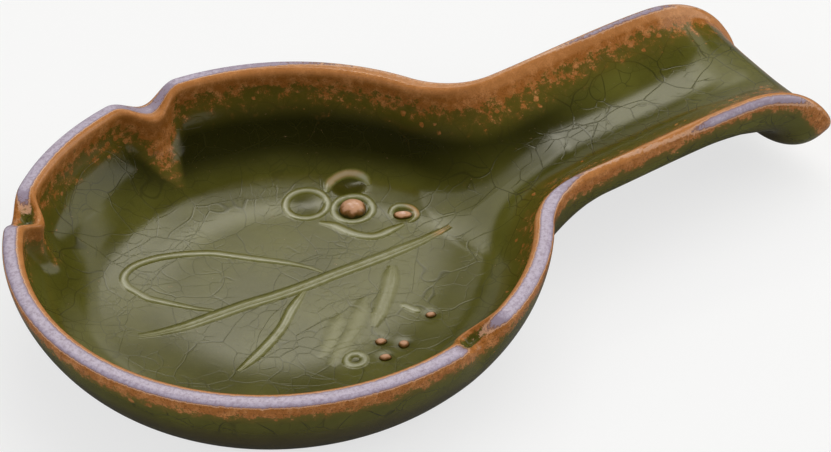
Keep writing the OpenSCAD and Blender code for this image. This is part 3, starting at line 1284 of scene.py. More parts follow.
@dataclass(frozen=True)
class RidgeShape:
    """How a laid ridge looks: its share of the sprig's height, its groove, its painted highlight.

    end is the share of its size that it keeps at its ends, and skirt how far it goes down
    into the bowl, as a share of its height.
    """

    height: float = 1.0
    groove: float = 0.0
    groove_half: float = 0.11
    # How pale the top gets, as a painted highlight.
    tone: float = 1.0
    end: float = 0.45
    skirt: float = 0.15
    top_power: float = 0.8
    points: int = 30

    def section(self) -> list[Point]:
        """Gives the closed section, one wide and one high, with its skirt below zero.

        Returns:
            The points, from the right foot over the top.
        """
        rounded = []
        for step in range(self.points + 1):
            x = 0.5 - step / self.points
            top = ((1.0 + math.cos(2.0 * math.pi * x)) / 2.0) ** self.top_power
            rounded.append((x, top - self.groove * math.exp(-((x / self.groove_half) ** 2))))
        return rounded + [(-0.5, -self.skirt), (0.5, -self.skirt)]


def curve_through(shares: list[Point], steps: int = 12) -> Array:
    """Runs a smooth curve through places on the floor, by a cubic between each two of them.

    Args:
        shares: The places.
        steps: How many points go between two places.

    Returns:
        The path's points.
    """
    p = np.array([shares[0], *shares, shares[-1]], dtype=float)
    t = (np.arange(steps) / steps)[:, None]
    parts = [
        (2 * b + (c - a) * t + (2 * a - 5 * b + 4 * c - d) * t ** 2
         + (3 * b - a - 3 * c + d) * t ** 3) / 2
        for a, b, c, d in zip(p, p[1:], p[2:], p[3:])
    ]
    return np.concatenate([*parts, p[-1:]])


@dataclass
class Sprig:
    """The sprig laid on the bowl's floor: its ridges, its rings and its berries.

    Paths, places, widths and radii are shares of the circle that the sprig fills. A path has
    its width and its shape, a ring its radius, a berry its radius, its stretch and its tone,
    which sets how pale its painted highlight gets, and a hollow in the glaze its radius and its
    depth in millimetres.
    """

    form: ClayForm
    margin: float = 0.5
    ridge_h: float = 0.13
    ring: float = 0.062
    ring_points: int = 96
    end_run: float = 0.25
    berry_turn: float = -29.0
    berry_flat: float = 0.7
    berry_points: tuple[int, int] = (56, 36)
    berry_lumps: float = 1.4
    berry_sizes: Point = (0.93, 0.14)
    berry_low: float = -0.06
    sharp_turn: float = 60.0
    hollow_power: int = 3
    paths: dict[str, tuple[list[Point], float, RidgeShape]] = field(default_factory=lambda: {
        "stem": ([(-0.9, 0.045), (-0.787, 0.02), (-0.614, -0.003), (-0.43, -0.009),
                  (-0.243, -0.015), (-0.062, -0.033), (0.127, -0.039), (0.325, -0.035),
                  (0.517, -0.037), (0.718, -0.035), (0.9, -0.028), (1.02, -0.012),
                  (1.12, -0.005)], 0.105, RidgeShape(groove=0.5)),
        "leaf_edge": ([(0.27, 0.02), (0.208, 0.115), (0.108, 0.221), (0.001, 0.317),
                       (-0.118, 0.426), (-0.213, 0.509), (-0.335, 0.575), (-0.433, 0.61),
                       (-0.52, 0.629), (-0.613, 0.631), (-0.687, 0.614), (-0.745, 0.576),
                       (-0.772, 0.53), (-0.775, 0.469), (-0.753, 0.412), (-0.716, 0.33),
                       (-0.668, 0.275), (-0.593, 0.194), (-0.506, 0.103), (-0.43, 0.04)],
                      0.062, RidgeShape()),
        "side_vein": ([(0.1, -0.075), (0.049, -0.113), (-0.049, -0.191), (-0.157, -0.291),
                       (-0.273, -0.368), (-0.401, -0.437), (-0.543, -0.498)], 0.08,
                      RidgeShape(groove=0.3)),
        "broad_fold": ([(0.651, -0.135), (0.545, -0.289), (0.42, -0.426), (0.29, -0.555)], 0.13,
                       RidgeShape(groove=0.25, tone=0.7)),
        "inner_fold": ([(0.38, -0.3), (0.203, -0.5), (0.05, -0.62), (-0.08, -0.72)], 0.15,
                       RidgeShape(height=0.7, tone=0.42)),
        "outer_fold": ([(0.19, -0.36), (0.06, -0.5), (-0.09, -0.645)], 0.14,
                       RidgeShape(height=0.6, tone=0.38)),
        "upper_petal": ([(0.64, 0.66), (0.7, 0.73), (0.775, 0.755), (0.85, 0.735),
                         (0.895, 0.67), (0.895, 0.58)], 0.075, RidgeShape(height=1.3)),
        "bud_stalk": ([(0.47, 0.44), (0.53, 0.37), (0.575, 0.275), (0.632, 0.195),
                       (0.708, 0.15), (0.807, 0.155), (0.9, 0.165)], 0.08, RidgeShape()),
        "bud_cup": ([(0.87, 0.245), (0.885, 0.3), (0.935, 0.33), (0.99, 0.3), (1.015, 0.24),
                     (0.99, 0.185), (0.93, 0.165)], 0.055, RidgeShape()),
        "side_stalk": ([(0.52, -0.46), (0.555, -0.53), (0.585, -0.585)], 0.06,
                       RidgeShape(height=0.8)),
    })
    rings: dict[str, tuple[Point, float]] = field(default_factory=lambda: {
        "ring_petal": ((0.482, 0.628), 0.128),
        "berry_ring": ((0.704, 0.447), 0.118),
        "loop_leaf": ((0.066, -0.75), 0.052),
    })
    berries: dict[str, tuple[Point, float, float, float]] = field(default_factory=lambda: {
        "large_berry": ((0.7, 0.44), 0.084, 1.0, 0.7),
        "bud": ((0.932, 0.24), 0.034, 1.7, 0.75),
        "side_bud": ((0.617, -0.642), 0.025, 1.3, 0.6),
        "small_berry_1": ((0.264, -0.69), 0.027, 1.3, 0.62),
        "small_berry_2": ((0.36, -0.784), 0.032, 1.0, 0.62),
        "small_berry_3": ((0.216, -0.828), 0.028, 1.3, 0.62),
    })
    hollows: tuple[tuple[Point, float, float], ...] = (
        ((0.79, 0.665), 0.09, 0.6), ((0.482, 0.628), 0.085, 0.14), ((0.7, 0.44), 0.095, 0.2),
        ((0.932, 0.24), 0.045, 0.15), ((0.617, -0.642), 0.045, 0.12),
        ((0.264, -0.69), 0.045, 0.14), ((0.36, -0.784), 0.05, 0.14),
        ((0.216, -0.828), 0.045, 0.14), ((0.066, -0.75), 0.03, 0.12),
    )

    @property
    def radius(self) -> float:
        """Gives the radius of the circle that the sprig fills."""
        return self.form.floor_r - self.margin

    def hollow(self, plan: Array) -> Array:
        """Gives how deep the glaze's floor dips round the berries and in the rings.

        Args:
            plan: Places in plan, in millimetres.

        Returns:
            The depths in millimetres.
        """
        depth = np.zeros(plan.shape[:-1])
        for place, radius, deep in self.hollows:
            gap = np.linalg.norm(plan - np.array(place) * self.radius, axis=-1)
            fall = (gap / (radius * self.radius)) ** self.hollow_power
            depth = np.maximum(depth, deep * np.exp(-fall))
        return depth

    def _ridge_maker(self) -> TreeMaker:
        """Builds the tree that lays a ridge along a path on the bowl.

        Returns:
            The tree's maker.
        """
        maker = TreeMaker("laid_ridge", Width="Float", Height="Float", End="Float",
                          Tone="Float", Section="Object", Base="Object", Material="Material")
        given = maker.source
        path = maker.add("GeometryNodeMeshToCurve", Mesh=given["Geometry"])
        level = maker.add("GeometryNodeSetCurveNormal", p_mode="Z_UP", Curve=path.outputs[0])
        along = maker.add("GeometryNodeSplineParameter").outputs["Factor"]
        to_end = maker.least(along, maker.minus(1.0, along))
        turn = maker.times(maker.least(1.0, maker.times(to_end, 1.0 / self.end_run)),
                           math.pi / 2.0)
        grown = maker.math("SINE", turn, 0.0)
        size = maker.plus(given["End"], maker.times(maker.minus(1.0, given["End"]), grown))
        sized = maker.add("GeometryNodeSetCurveRadius", Curve=level.outputs[0], Radius=size)
        # An upright curve normal turns the section round, so it is scaled by minus its size.
        section = maker.add("GeometryNodeObjectInfo", Object=given["Section"])
        scaled = maker.add("GeometryNodeTransform", Geometry=section.outputs["Geometry"],
                           Scale=maker.joined(maker.times(given["Width"], -1.0),
                                              maker.times(given["Height"], -1.0), 1.0))
        swept = maker.add("GeometryNodeCurveToMesh", Curve=sized.outputs[0],
                          Profile_Curve=scaled.outputs[0], Fill_Caps=True, Scale=size)
        maker.finish(maker.drape(swept.outputs["Mesh"]))
        return maker

    def _berry_maker(self) -> TreeMaker:
        """Builds the tree that sets a berry down on the bowl.

        Returns:
            The tree's maker.
        """
        maker = TreeMaker("laid_berry", Radius="Float", Height="Float", Place="Vector",
                          Seed="Float", Stretch="Float", Turn="Float", Tone="Float",
                          Base="Object", Material="Material")
        given = maker.source
        segments, rings = self.berry_points
        ball = maker.add("GeometryNodeMeshUVSphere", Segments=segments, Rings=rings, Radius=1.0)
        position = maker.add("GeometryNodeInputPosition").outputs[0]
        lumps = maker.add("ShaderNodeTexNoise", p_noise_dimensions="4D", Vector=position,
                          W=given["Seed"], Scale=self.berry_lumps, Detail=1.0)
        least, more = self.berry_sizes
        width = maker.times(given["Radius"], maker.plus(
            least, maker.times(lumps.outputs[0], more)))
        x, y, z = maker.axes(position)
        shaped = maker.joined(maker.times(x, maker.times(width, given["Stretch"])),
                              maker.times(y, width),
                              maker.times(given["Height"], maker.most(z, self.berry_low)))
        turned = maker.add("ShaderNodeVectorRotate", p_rotation_type="Z_AXIS", Vector=shaped,
                           Angle=given["Turn"])
        there = maker.vector("ADD", turned.outputs[0], given["Place"])
        moved = maker.add("GeometryNodeSetPosition", Geometry=ball.outputs["Mesh"],
                          Position=there)
        maker.finish(maker.drape(moved.outputs[0]))
        return maker

    def _lay_ridges(self, bowl: Thing, relief: Material) -> list[Thing]:
        """Lays the ridges and the rings on the bowl.

        Args:
            bowl: The bowl that carries them.
            relief: Their material.

        Returns:
            The pieces.
        """
        runs = {name: (curve_through(shares), width, shape)
                for name, (shares, width, shape) in self.paths.items()}
        turn = np.linspace(0.0, 2.0 * math.pi, self.ring_points, endpoint=False)
        circle = np.stack([np.cos(turn), np.sin(turn)], axis=1)
        runs |= {name: (circle * radius + np.array(place), self.ring, RidgeShape(end=1.0))
                 for name, (place, radius) in self.rings.items()}
        maker = self._ridge_maker()
        pieces = []
        for name, (points, width, shape) in runs.items():
            section = outline(f"{name}_section", shape.section())
            host = path_mesh(np.pad(points * self.radius, ((0, 0), (0, 1))), name in self.rings)
            piece = maker.run(f"laid_{name}", host, Width=width * self.radius * MM,
                              Height=self.ridge_h * shape.height * MM, End=shape.end,
                              Tone=shape.tone, Section=section, Base=bowl, Material=relief)
            bpy.data.objects.remove(section)
            smooth_by_angle(piece, self.sharp_turn)
            dress(piece, relief, Slot.RELIEF, name)
            pieces.append(piece)
        return pieces

    def _lay_berries(self, bowl: Thing, berry: Material) -> list[Thing]:
        """Sets the berries down on the bowl.

        Args:
            bowl: The bowl that carries them.
            berry: Their material.

        Returns:
            The pieces.
        """
        maker = self._berry_maker()
        pieces = []
        for seed, (name, (place, radius, stretch, tone)) in enumerate(self.berries.items()):
            size = radius * self.radius * MM
            piece = maker.run(f"laid_{name}", path_mesh(np.zeros((1, 3))), Radius=size,
                              Height=size * self.berry_flat, Seed=float(seed),
                              Place=Vector((*place, 0.0)) * self.radius * MM, Stretch=stretch,
                              Turn=math.radians(self.berry_turn), Tone=tone, Base=bowl,
                              Material=berry)
            smooth_by_angle(piece, self.sharp_turn)
            dress(piece, berry, Slot.BERRY, name)
            pieces.append(piece)
        return pieces

    def build(self, bowl: Thing, relief: Material, berry: Material) -> list[Thing]:
        """Lays the whole sprig on the bowl, its ridges first, and dresses it."""
        return self._lay_ridges(bowl, relief) + self._lay_berries(bowl, berry)


@dataclass(frozen=True)
class Layer:
    """A colour that is laid over others as a value goes through its range."""

    ends: Point
    color: Color
    share: float = 1.0


class ShaderMaker(NodeMaker):
    """Makes one node material, which reads Object coordinates and the mesh's fields."""

    WARP_DETAIL = 2.0
    SEED_WAY = (1.0, 0.7, -1.0)

    def __init__(self, name: str, kind: str = "ShaderNodeBsdfPrincipled",
                 **sockets: object) -> None:
        """Starts a material that has one shader.

        Args:
            name: The material's name.
            kind: The shader's type.
            sockets: The shader's own sockets by name, with _ for a blank.
        """
        self.material = bpy.data.materials.new(name)
        self.material.use_nodes = True
        super().__init__(self.material.node_tree)
        self.tree.nodes.clear()
        self.shader = self.add(kind, **sockets)
        self.add("ShaderNodeOutputMaterial", Surface=self.shader.outputs[0])
        place = self.add("ShaderNodeTexCoord").outputs["Object"]
        self.place = self.vector("SCALE", place, Scale=1.0 / MM)

    def wire(self, **sockets: object) -> None:
        """Gives the shader's sockets their values, by name with _ for a blank."""
        for name, value in sockets.items():
            self.give(self.shader.inputs[name.replace("_", " ")], value)

    def step(self, value: Value, ends: Point) -> Socket:
        """Goes smoothly from 0 to 1 as a value goes from one end to the other."""
        return self.add("ShaderNodeMapRange", p_interpolation_type="SMOOTHSTEP", i0=value,
                        i1=ends[0], i2=ends[1]).outputs[0]

    def blend(self, share: Value, a: Value, b: Value) -> Socket:
        """Mixes two colours."""
        return self.add("ShaderNodeMix", p_data_type="RGBA", i0=share, i6=a, i7=b).outputs[2]

    def layered(self, value: Value, color: Value, layers: tuple[Layer, ...]) -> Socket:
        """Lays colours over a ground, each as a value goes through its range."""
        for layer in layers:
            share = self.times(self.step(value, layer.ends), layer.share)
            color = self.blend(share, color, layer.color)
        return color

    def field(self, name: str) -> Socket:
        """Reads one of the mesh's fields."""
        return self.add("ShaderNodeAttribute", p_attribute_name=name).outputs["Fac"]

    def warped(self, per_mm: float, by: float, seed: float) -> Socket:
        """Gives the place, shifted by a slow noise.

        Args:
            per_mm: The noise's waves a millimetre.
            by: The shift in millimetres.
            seed: A shift of the noise itself, so that two warps differ.

        Returns:
            The shifted place.
        """
        there = self.vector("ADD", self.place, tuple(seed * part for part in self.SEED_WAY))
        noise = self.add("ShaderNodeTexNoise", Vector=there, Scale=per_mm,
                         Detail=self.WARP_DETAIL)
        centred = self.vector("SUBTRACT", noise.outputs["Color"], (0.5, 0.5, 0.5))
        return self.vector("ADD", self.place, self.vector("SCALE", centred, Scale=by))

    def bump(self, height: Value) -> None:
        """Gives the shader a bump from a height in millimetres."""
        node = self.add("ShaderNodeBump", Strength=1.0, Distance=MM, Height=height)
        self.wire(Normal=node.outputs[0])


@dataclass(frozen=True)
class Grain:
    """One noise of a finish: its waves a millimetre, its detail and its roughness.

    ends is the range that it is stepped over, and shift moves it, in millimetres.
    """

    per_mm: float
    detail: float = 2.0
    rough: float = 0.5
    ends: Point = (0.0, 1.0)
    shift: Triple = (0.0, 0.0, 0.0)

    def plain(self, maker: ShaderMaker) -> Socket:
        """Draws it from about 0 to 1."""
        there = maker.vector("ADD", maker.place, self.shift) if any(self.shift) else maker.place
        return maker.add("ShaderNodeTexNoise", Vector=there, Scale=self.per_mm,
                         Detail=self.detail, Roughness=self.rough).outputs[0]

    def centred(self, maker: ShaderMaker, by: float = 1.0) -> Socket:
        """Draws it round zero, so many times as strong."""
        return maker.times(maker.minus(self.plain(maker), 0.5), by)

    def stepped(self, maker: ShaderMaker) -> Socket:
        """Draws it from 0 below its range to 1 above."""
        return maker.step(self.plain(maker), self.ends)


@dataclass(frozen=True)
class Colors:
    """The colours that the glaze goes through, as they are seen."""

    deep: Color = linear(74, 72, 20)
    olive: Color = linear(94, 92, 33)
    light_olive: Color = linear(94, 84, 27)
    # Painted shade for the far wall, low down.
    far_wall_shade: Color = linear(32, 31, 3)
    pool: Color = linear(48, 46, 10)
    brown: Color = linear(64, 56, 24)
    crack: Color = linear(46, 44, 14)
    rust: Color = linear(166, 102, 46)
    rust_light: Color = linear(204, 138, 82)
    rust_dark: Color = linear(100, 60, 22)
    # Painted highlights: tan and pink on the berries' tops, tan also on the rim's band.
    tan: Color = linear(206, 158, 124)
    pink_highlight: Color = linear(236, 202, 188)
    brown_berry: Color = linear(128, 88, 44)
    # The rim's pale band is a painted highlight: its middle, its bright streak and its dark
    # fringe.
    pale: Color = linear(158, 143, 160)
    pale_highlight_bright: Color = linear(192, 180, 198)
    pale_highlight_dark: Color = linear(132, 98, 88)
    # Painted sheen on the ridges' flanks and painted highlight on their tops.
    ridge_sheen: Color = linear(114, 112, 62)
    ridge_highlight: Color = linear(152, 151, 122)


COLORS = Colors()


@dataclass(frozen=True)
class Net:
    """One net of cracks between irregular cells, sized in millimetres.

    warp is the waves, the reach and the seed of the noise that bends it, line its share of the
    lines' full width, and share how strongly it shows in the patches that where draws.
    """

    cell: float
    warp: Triple
    line: float = 1.0
    where: Grain | None = None
    share: float = 1.0

    def draw(self, maker: ShaderMaker, width: float, soft: float) -> Socket:
        """Draws the cracks.

        Args:
            maker: The material's maker.
            width: The lines' full width.
            soft: The share of a line that is solid.

        Returns:
            The cracks, 1 on a line and 0 between.
        """
        cells = maker.add("ShaderNodeTexVoronoi", p_feature="DISTANCE_TO_EDGE",
                          Vector=maker.warped(*self.warp), Scale=1.0 / self.cell)
        half = width * self.line / self.cell
        lines = maker.minus(1.0, maker.step(cells.outputs[0], (half * soft, half)))
        if self.where is None:
            return lines
        return maker.times(lines, self.where.stepped(maker), self.share)


@dataclass(frozen=True)
class Crackle:
    """The fine cracks in the glaze: the lines' width and depth in millimetres, and the nets."""

    line: float = 0.2
    depth: float = 0.014
    soft: float = 0.15
    nets: tuple[Net, ...] = (
        Net(13.0, (0.035, 20.0, 7.0)),
        Net(5.6, (0.07, 9.0, 29.0), 0.85,
            Grain(0.07, 3.0, ends=(0.4, 0.52), shift=(19.0, 3.0, 8.0)), 0.8),
        Net(2.9, (0.16, 3.0, 23.0), 0.65, Grain(0.09, ends=(0.5, 0.62)), 0.55),
    )

    def lines(self, maker: ShaderMaker) -> Socket:
        """Draws all nets, 1 on a line and 0 between."""
        return maker.most(*(net.draw(maker, self.line, self.soft) for net in self.nets))


@dataclass(frozen=True)
class Glaze:
    """What all the piece's glazes share: the green ground, its cracks, its gloss, its bump.

    Heights are in millimetres. wall is the heights over the table between which the floor goes
    over into the wall. The crack values are for the floor, and what the wall adds. For the
    shade painted low on the far wall, the shares say how much of it shows without rust, and
    how much less under rust.
    """

    crackle: Crackle = field(default_factory=Crackle)
    ior: float = 1.5
    roughness: float = 0.135
    wave: Grain = Grain(0.06)
    wave_h: float = 0.04
    peel: Grain = Grain(0.7, 3.0)
    peel_h: float = 0.004
    wall: Point = (8.0, 15.0)
    crack_shades: Point = (0.42, 0.28)
    crack_depths: Point = (0.6, 0.7)
    mottle: Grain = Grain(0.05, 4.0, 0.55, (0.3, 0.75))
    fine: Grain = Grain(2.2, 4.0, 0.7, (0.45, 0.75))
    fine_share: float = 0.4
    # How much painted shade darkens the far wall, and how much less under rust.
    shade_shares: Point = (0.95, 0.6)
    shade_rust: Point = (0.0, 0.4)
    crest_by: float = 0.5

    def _by_wall(self, maker: ShaderMaker, shares: Point) -> Socket:
        """Gives the first value on the floor, and the sum of both on the wall."""
        height = maker.axes(maker.place)[2]
        return maker.plus(shares[0], maker.times(maker.step(height, self.wall), shares[1]))

    def _ground(self, maker: ShaderMaker, cracks: Socket) -> Socket:
        """Mixes the green ground with its mottle, a painted shade low on the far wall, and its
        cracks.

        Args:
            maker: The material's maker.
            cracks: The cracks.

        Returns:
            The ground's colour.
        """
        ground = maker.blend(self.mottle.stepped(maker), COLORS.deep, COLORS.olive)
        fine = maker.times(self.fine.stepped(maker), self.fine_share)
        ground = maker.blend(fine, ground, COLORS.olive)
        # Painted shade: the far wall is darkened low down, where the light falls weakly.
        most, less = self.shade_shares
        rusted = maker.step(maker.field("rust"), self.shade_rust)
        clear = maker.minus(most, maker.times(rusted, less))
        ground = maker.blend(maker.times(maker.field("deep"), clear), ground, COLORS.far_wall_shade)
        shade = maker.times(cracks, self._by_wall(maker, self.crack_shades))
        return maker.blend(shade, ground, COLORS.crack)

    def _surface(self, maker: ShaderMaker, cracks: Socket) -> None:
        """Gives the shader its bump: slow waves, a fine peel and the cracks' grooves.

        Args:
            maker: The material's maker.
            cracks: The cracks.
        """
        wave = maker.times(self.wave.plain(maker), self.wave_h)
        peel = maker.times(self.peel.plain(maker), self.peel_h)
        groove = maker.times(cracks, self._by_wall(maker, self.crack_depths),
                             -self.crackle.depth)
        maker.bump(maker.plus(wave, peel, groove))

    def _crest(self, maker: ShaderMaker, grain: Grain) -> Socket:
        """Reads the height on the relief, made uneven."""
        return maker.plus(maker.field("crest"), grain.centred(maker, self.crest_by))


@dataclass(frozen=True)
class Rust:
    """How the glaze breaks to rust: a ragged solid edge, a thin veil above it, and spots.

    The reach is the mesh's rust field, moved by three noises. A spot grows as its chance and
    the reach together pass spot_from_sum. dark_shares is how much of the dark shows inside,
    and what is added outside; the rim's top is painted lighter, as a highlight.
    """

    slow: Grain = Grain(0.13)
    cloud: Grain = Grain(0.42, 3.0, 0.55)
    quick: Grain = Grain(1.8, 4.0, 0.75)
    slow_by: float = 0.5
    cloud_by: float = 1.1
    quick_by: float = 1.1
    solid: Point = (0.42, 0.6)
    veil: Point = (0.2, 0.6)
    veil_share: float = 0.2
    spots_per_mm: float = 0.36
    spot_warp: Triple = (0.6, 1.0, 5.0)
    spot_from_sum: float = 0.8
    spot_growth: float = 0.7
    spot_most: float = 0.34
    spot_uneven: float = 0.3
    spot_edge: Point = (-0.03, 0.07)
    spot_field: Point = (0.01, 0.06)
    spot_share: float = 0.85
    share: float = 0.95
    light: Grain = Grain(0.4, 4.0, 0.65, (0.4, 0.72))
    dark: Grain = Grain(2.2, 4.0, 0.75, (0.46, 0.68))
    dark_shares: Point = (0.62, 0.38)
    dark_outside: Point = (0.0, 0.12)
    # The rim's top is painted lighter as a highlight, but not down the outside.
    rim: Point = (0.8, 1.0)
    highlight_outside: Point = (0.003, 0.03)
    rim_highlight_share: float = 0.5

    def _spots(self, maker: ShaderMaker, reach: Socket) -> Socket:
        """Draws the round spots that stand alone below the rust's edge.

        Args:
            maker: The material's maker.
            reach: How far the rust reaches.

        Returns:
            The spots' share.
        """
        cells = maker.add("ShaderNodeTexVoronoi", Vector=maker.warped(*self.spot_warp),
                          Scale=self.spots_per_mm, p_feature="F1").outputs
        chance = maker.add("ShaderNodeSeparateColor", Color=cells["Color"]).outputs[0]
        radius = maker.times(maker.minus(maker.plus(chance, reach), self.spot_from_sum),
                             self.spot_growth)
        edge = maker.plus(cells["Distance"], self.quick.centred(maker, self.spot_uneven))
        spot = maker.step(maker.minus(maker.least(radius, self.spot_most), edge),
                          self.spot_edge)
        return maker.times(spot, maker.step(maker.field("rust"), self.spot_field),
                           self.spot_share)

    def draw(self, maker: ShaderMaker) -> tuple[Socket, Socket]:
        """Draws where the glaze has broken to rust, and its colour there.

        Args:
            maker: The material's maker.

        Returns:
            The rust's share, and its colour.
        """
        rust, outside = maker.field("rust"), maker.field("outside")
        reach = maker.plus(rust, self.slow.centred(maker, self.slow_by))
        cloud = maker.plus(reach, self.cloud.centred(maker, self.cloud_by))
        ragged = maker.plus(cloud, self.quick.centred(maker, self.quick_by))
        veil = maker.times(maker.step(cloud, self.veil), self.veil_share)
        share = maker.most(maker.step(ragged, self.solid), self._spots(maker, reach), veil)

        tone = maker.blend(self.light.stepped(maker), COLORS.rust, COLORS.rust_light)
        least, more = self.dark_shares
        weight = maker.plus(least, maker.times(maker.step(outside, self.dark_outside), more))
        tone = maker.blend(maker.times(self.dark.stepped(maker), weight), tone,
                           COLORS.rust_dark)
        # Painted highlight: the rust is lightened along the rim's top.
        within = maker.minus(1.0, maker.step(outside, self.highlight_outside))
        rim = maker.times(maker.step(rust, self.rim), within, self.rim_highlight_share)
        return maker.times(share, self.share), maker.blend(rim, tone, COLORS.rust_light)


@dataclass(frozen=True)
class BodyGlaze(Glaze):
    """The olive glaze of bowl and handle: rust at the rim, and a painted highlight on its top."""

    rust: Rust = field(default_factory=Rust)
    pool_share: float = 0.65
    below_rust: Layer = Layer((0.04, 0.45), COLORS.light_olive)
    outside: Layer = Layer((0.35, 0.95), COLORS.brown)
    uneven: Grain = Grain(0.9, 5.0, 0.8)
    uneven_by: float = 1.1
    # The rim's pale band, painted as a highlight from its tan fringe to its bright middle.
    highlight_band: tuple[Layer, ...] = (
        Layer((0.16, 0.34), COLORS.tan), Layer((0.42, 0.54), COLORS.pale_highlight_dark),
        Layer((0.52, 0.7), COLORS.pale), Layer((0.82, 1.1), COLORS.pale_highlight_bright),
    )
    band_rough: Point = (0.3, 0.6)
    band_rougher: float = 0.12

    def material(self) -> Material:
        """Makes the glaze of the bowl and the handle.

        Returns:
            The material.
        """
        maker = ShaderMaker("olive_glaze", IOR=self.ior)
        cracks = self.crackle.lines(maker)
        hollow = maker.times(maker.field("hollow"), self.pool_share)
        ground = maker.blend(hollow, self._ground(maker, cracks), COLORS.pool)
        ground = maker.layered(maker.field("rust"), ground, (self.below_rust,))
        ground = maker.layered(maker.field("outside"), ground, (self.outside,))
        share, tone = self.rust.draw(maker)
        # The pale field marks the painted highlight along the rim's top.
        pale = maker.plus(maker.field("pale"), self.uneven.centred(maker, self.uneven_by))
        color = maker.layered(pale, maker.blend(share, ground, tone), self.highlight_band)
        rougher = maker.times(maker.step(pale, self.band_rough), self.band_rougher)
        maker.wire(Base_Color=color, Roughness=maker.plus(self.roughness, rougher))
        self._surface(maker, cracks)
        return maker.material


@dataclass(frozen=True)
class ReliefGlaze(Glaze):
    """The ridges' glaze: thin, paler and with a painted highlight on the tops, burnt at two ends.

    stem_x is where along X the stem turns to rust, and petal_x and petal_y where the petal does.
    """

    uneven: Grain = Grain(0.5, 4.0)
    # Painted sheen on the flanks and painted highlight on the tops, where the glaze is also thin.
    layers: tuple[Layer, ...] = (
        Layer((0.0, 0.45), COLORS.ridge_sheen, 0.85), Layer((0.4, 1.05), COLORS.ridge_highlight, 0.9))
    stem_x: Point = (41.0, 45.0)
    petal_x: Point = (27.0, 30.0)
    petal_y: Point = (28.0, 31.0)
    petal_share: float = 0.35
    burnt: Layer = Layer((0.1, 0.7), COLORS.rust_light, 0.65)

    def material(self) -> Material:
        """Makes the glaze of the ridges.

        Returns:
            The material.
        """
        maker = ShaderMaker("relief_glaze", IOR=self.ior, Roughness=self.roughness)
        cracks = self.crackle.lines(maker)
        crest = self._crest(maker, self.uneven)
        color = maker.layered(crest, self._ground(maker, cracks), self.layers)
        x, y, _ = maker.axes(maker.place)
        petal = maker.times(maker.step(x, self.petal_x), maker.step(y, self.petal_y),
                            self.petal_share)
        ends = maker.most(maker.step(x, self.stem_x), petal)
        burnt = maker.times(ends, maker.step(crest, self.burnt.ends), self.burnt.share)
        maker.wire(Base_Color=maker.blend(burnt, color, self.burnt.color))
        self._surface(maker, cracks)
        return maker.material


@dataclass(frozen=True)
class BerryGlaze(Glaze):
    """The glaze of the berries, rust with a painted highlight, tan and pink, on the top."""

    uneven: Grain = Grain(0.7, 4.0)
    # From the dark foot up to a painted highlight, tan and pink, on the top.
    layers: tuple[Layer, ...] = (
        Layer((0.05, 0.4), COLORS.brown_berry), Layer((0.32, 0.56), COLORS.tan),
        Layer((0.62, 0.85), COLORS.pink_highlight))

    def material(self) -> Material:
        """Makes the glaze of the berries.

        Returns:
            The material.
        """
        maker = ShaderMaker("berry_glaze", IOR=self.ior, Roughness=self.roughness)
        crest = self._crest(maker, self.uneven)
        maker.wire(Base_Color=maker.layered(crest, COLORS.pool, self.layers))
        self._surface(maker, self.crackle.lines(maker))
        return maker.material


@dataclass(frozen=True)
class BareClay:
    """The bare fired clay of the foot: buff, speckled and matt."""

    buff: Color = linear(176, 140, 106)
    dark: Color = linear(120, 84, 58)
    speck: Color = linear(62, 44, 32)
    roughness: float = 0.85
    ior: float = 1.45
    cloud: Grain = Grain(0.25, 5.0)
    specks: Grain = Grain(2.4, 3.0, ends=(0.66, 0.72))
    grain: Grain = Grain(3.0, 5.0, 0.7)
    grain_h: float = 0.06

    def material(self) -> Material:
        """Makes the bare clay.

        Returns:
            The material.
        """
        maker = ShaderMaker("bare_stoneware", Roughness=self.roughness, IOR=self.ior)
        color = maker.blend(self.cloud.plain(maker), self.buff, self.dark)
        maker.wire(Base_Color=maker.blend(self.specks.stepped(maker), color, self.speck))
        maker.bump(maker.times(self.grain.plain(maker), self.grain_h))
        return maker.material


def direction(azimuth: float, elevation: float) -> Vector:
    """Gives the way to a place over the table, in degrees from +X towards +Y and upwards."""
    az, el = math.radians(azimuth), math.radians(elevation)
    return Vector((math.cos(el) * math.cos(az), math.cos(el) * math.sin(az), math.sin(el)))


@dataclass(frozen=True)
class Glow:
    """One soft patch of light on the softbox dome, in degrees as the bowl sees it.

    The fades are how far its light runs out towards its left, right, lower and upper edges.
    """

    azimuths: Point
    elevations: Point
    radiance: float
    fades: tuple[float, float, float, float]

    def light(self, azimuths: Array, elevations: Array) -> Array:
        """Gives its radiance over a grid of directions.

        Args:
            azimuths: The grid's columns, in degrees.
            elevations: The grid's rows, in degrees.

        Returns:
            The radiance, rows by columns.
        """
        left, right, low, high = self.fades
        across = (smooth((azimuths - self.azimuths[0]) / left)
                  * smooth((self.azimuths[1] - azimuths) / right))
        upright = (smooth((elevations - self.elevations[0]) / low)
                   * smooth((self.elevations[1] - elevations) / high))
        return self.radiance * np.outer(upright, across)


@dataclass(frozen=True)
class Lamp:
    """A square lamp that looks at the bowl and that the glaze doesn't mirror.

    Its direction is in degrees, its size in millimetres, and its radiance 1 where it is white.
    """

    azimuth: float
    elevation: float
    size: float
    radiance: float

    def hang(self, name: str, distance: float) -> None:
        """Hangs the lamp.

        Args:
            name: Its name.
            distance: How far from the bowl it hangs, in millimetres.
        """
        data = bpy.data.lights.new(name, "AREA")
        data.shape, data.size = "SQUARE", self.size * MM
        data.energy = self.radiance * (self.size * MM) ** 2 * math.pi
        made = placed(name, data)
        way = direction(self.azimuth, self.elevation)
        made.location = way * distance * MM
        made.rotation_euler = way.to_track_quat("Z", "Y").to_euler()
        made.visible_glossy = made.visible_camera = False


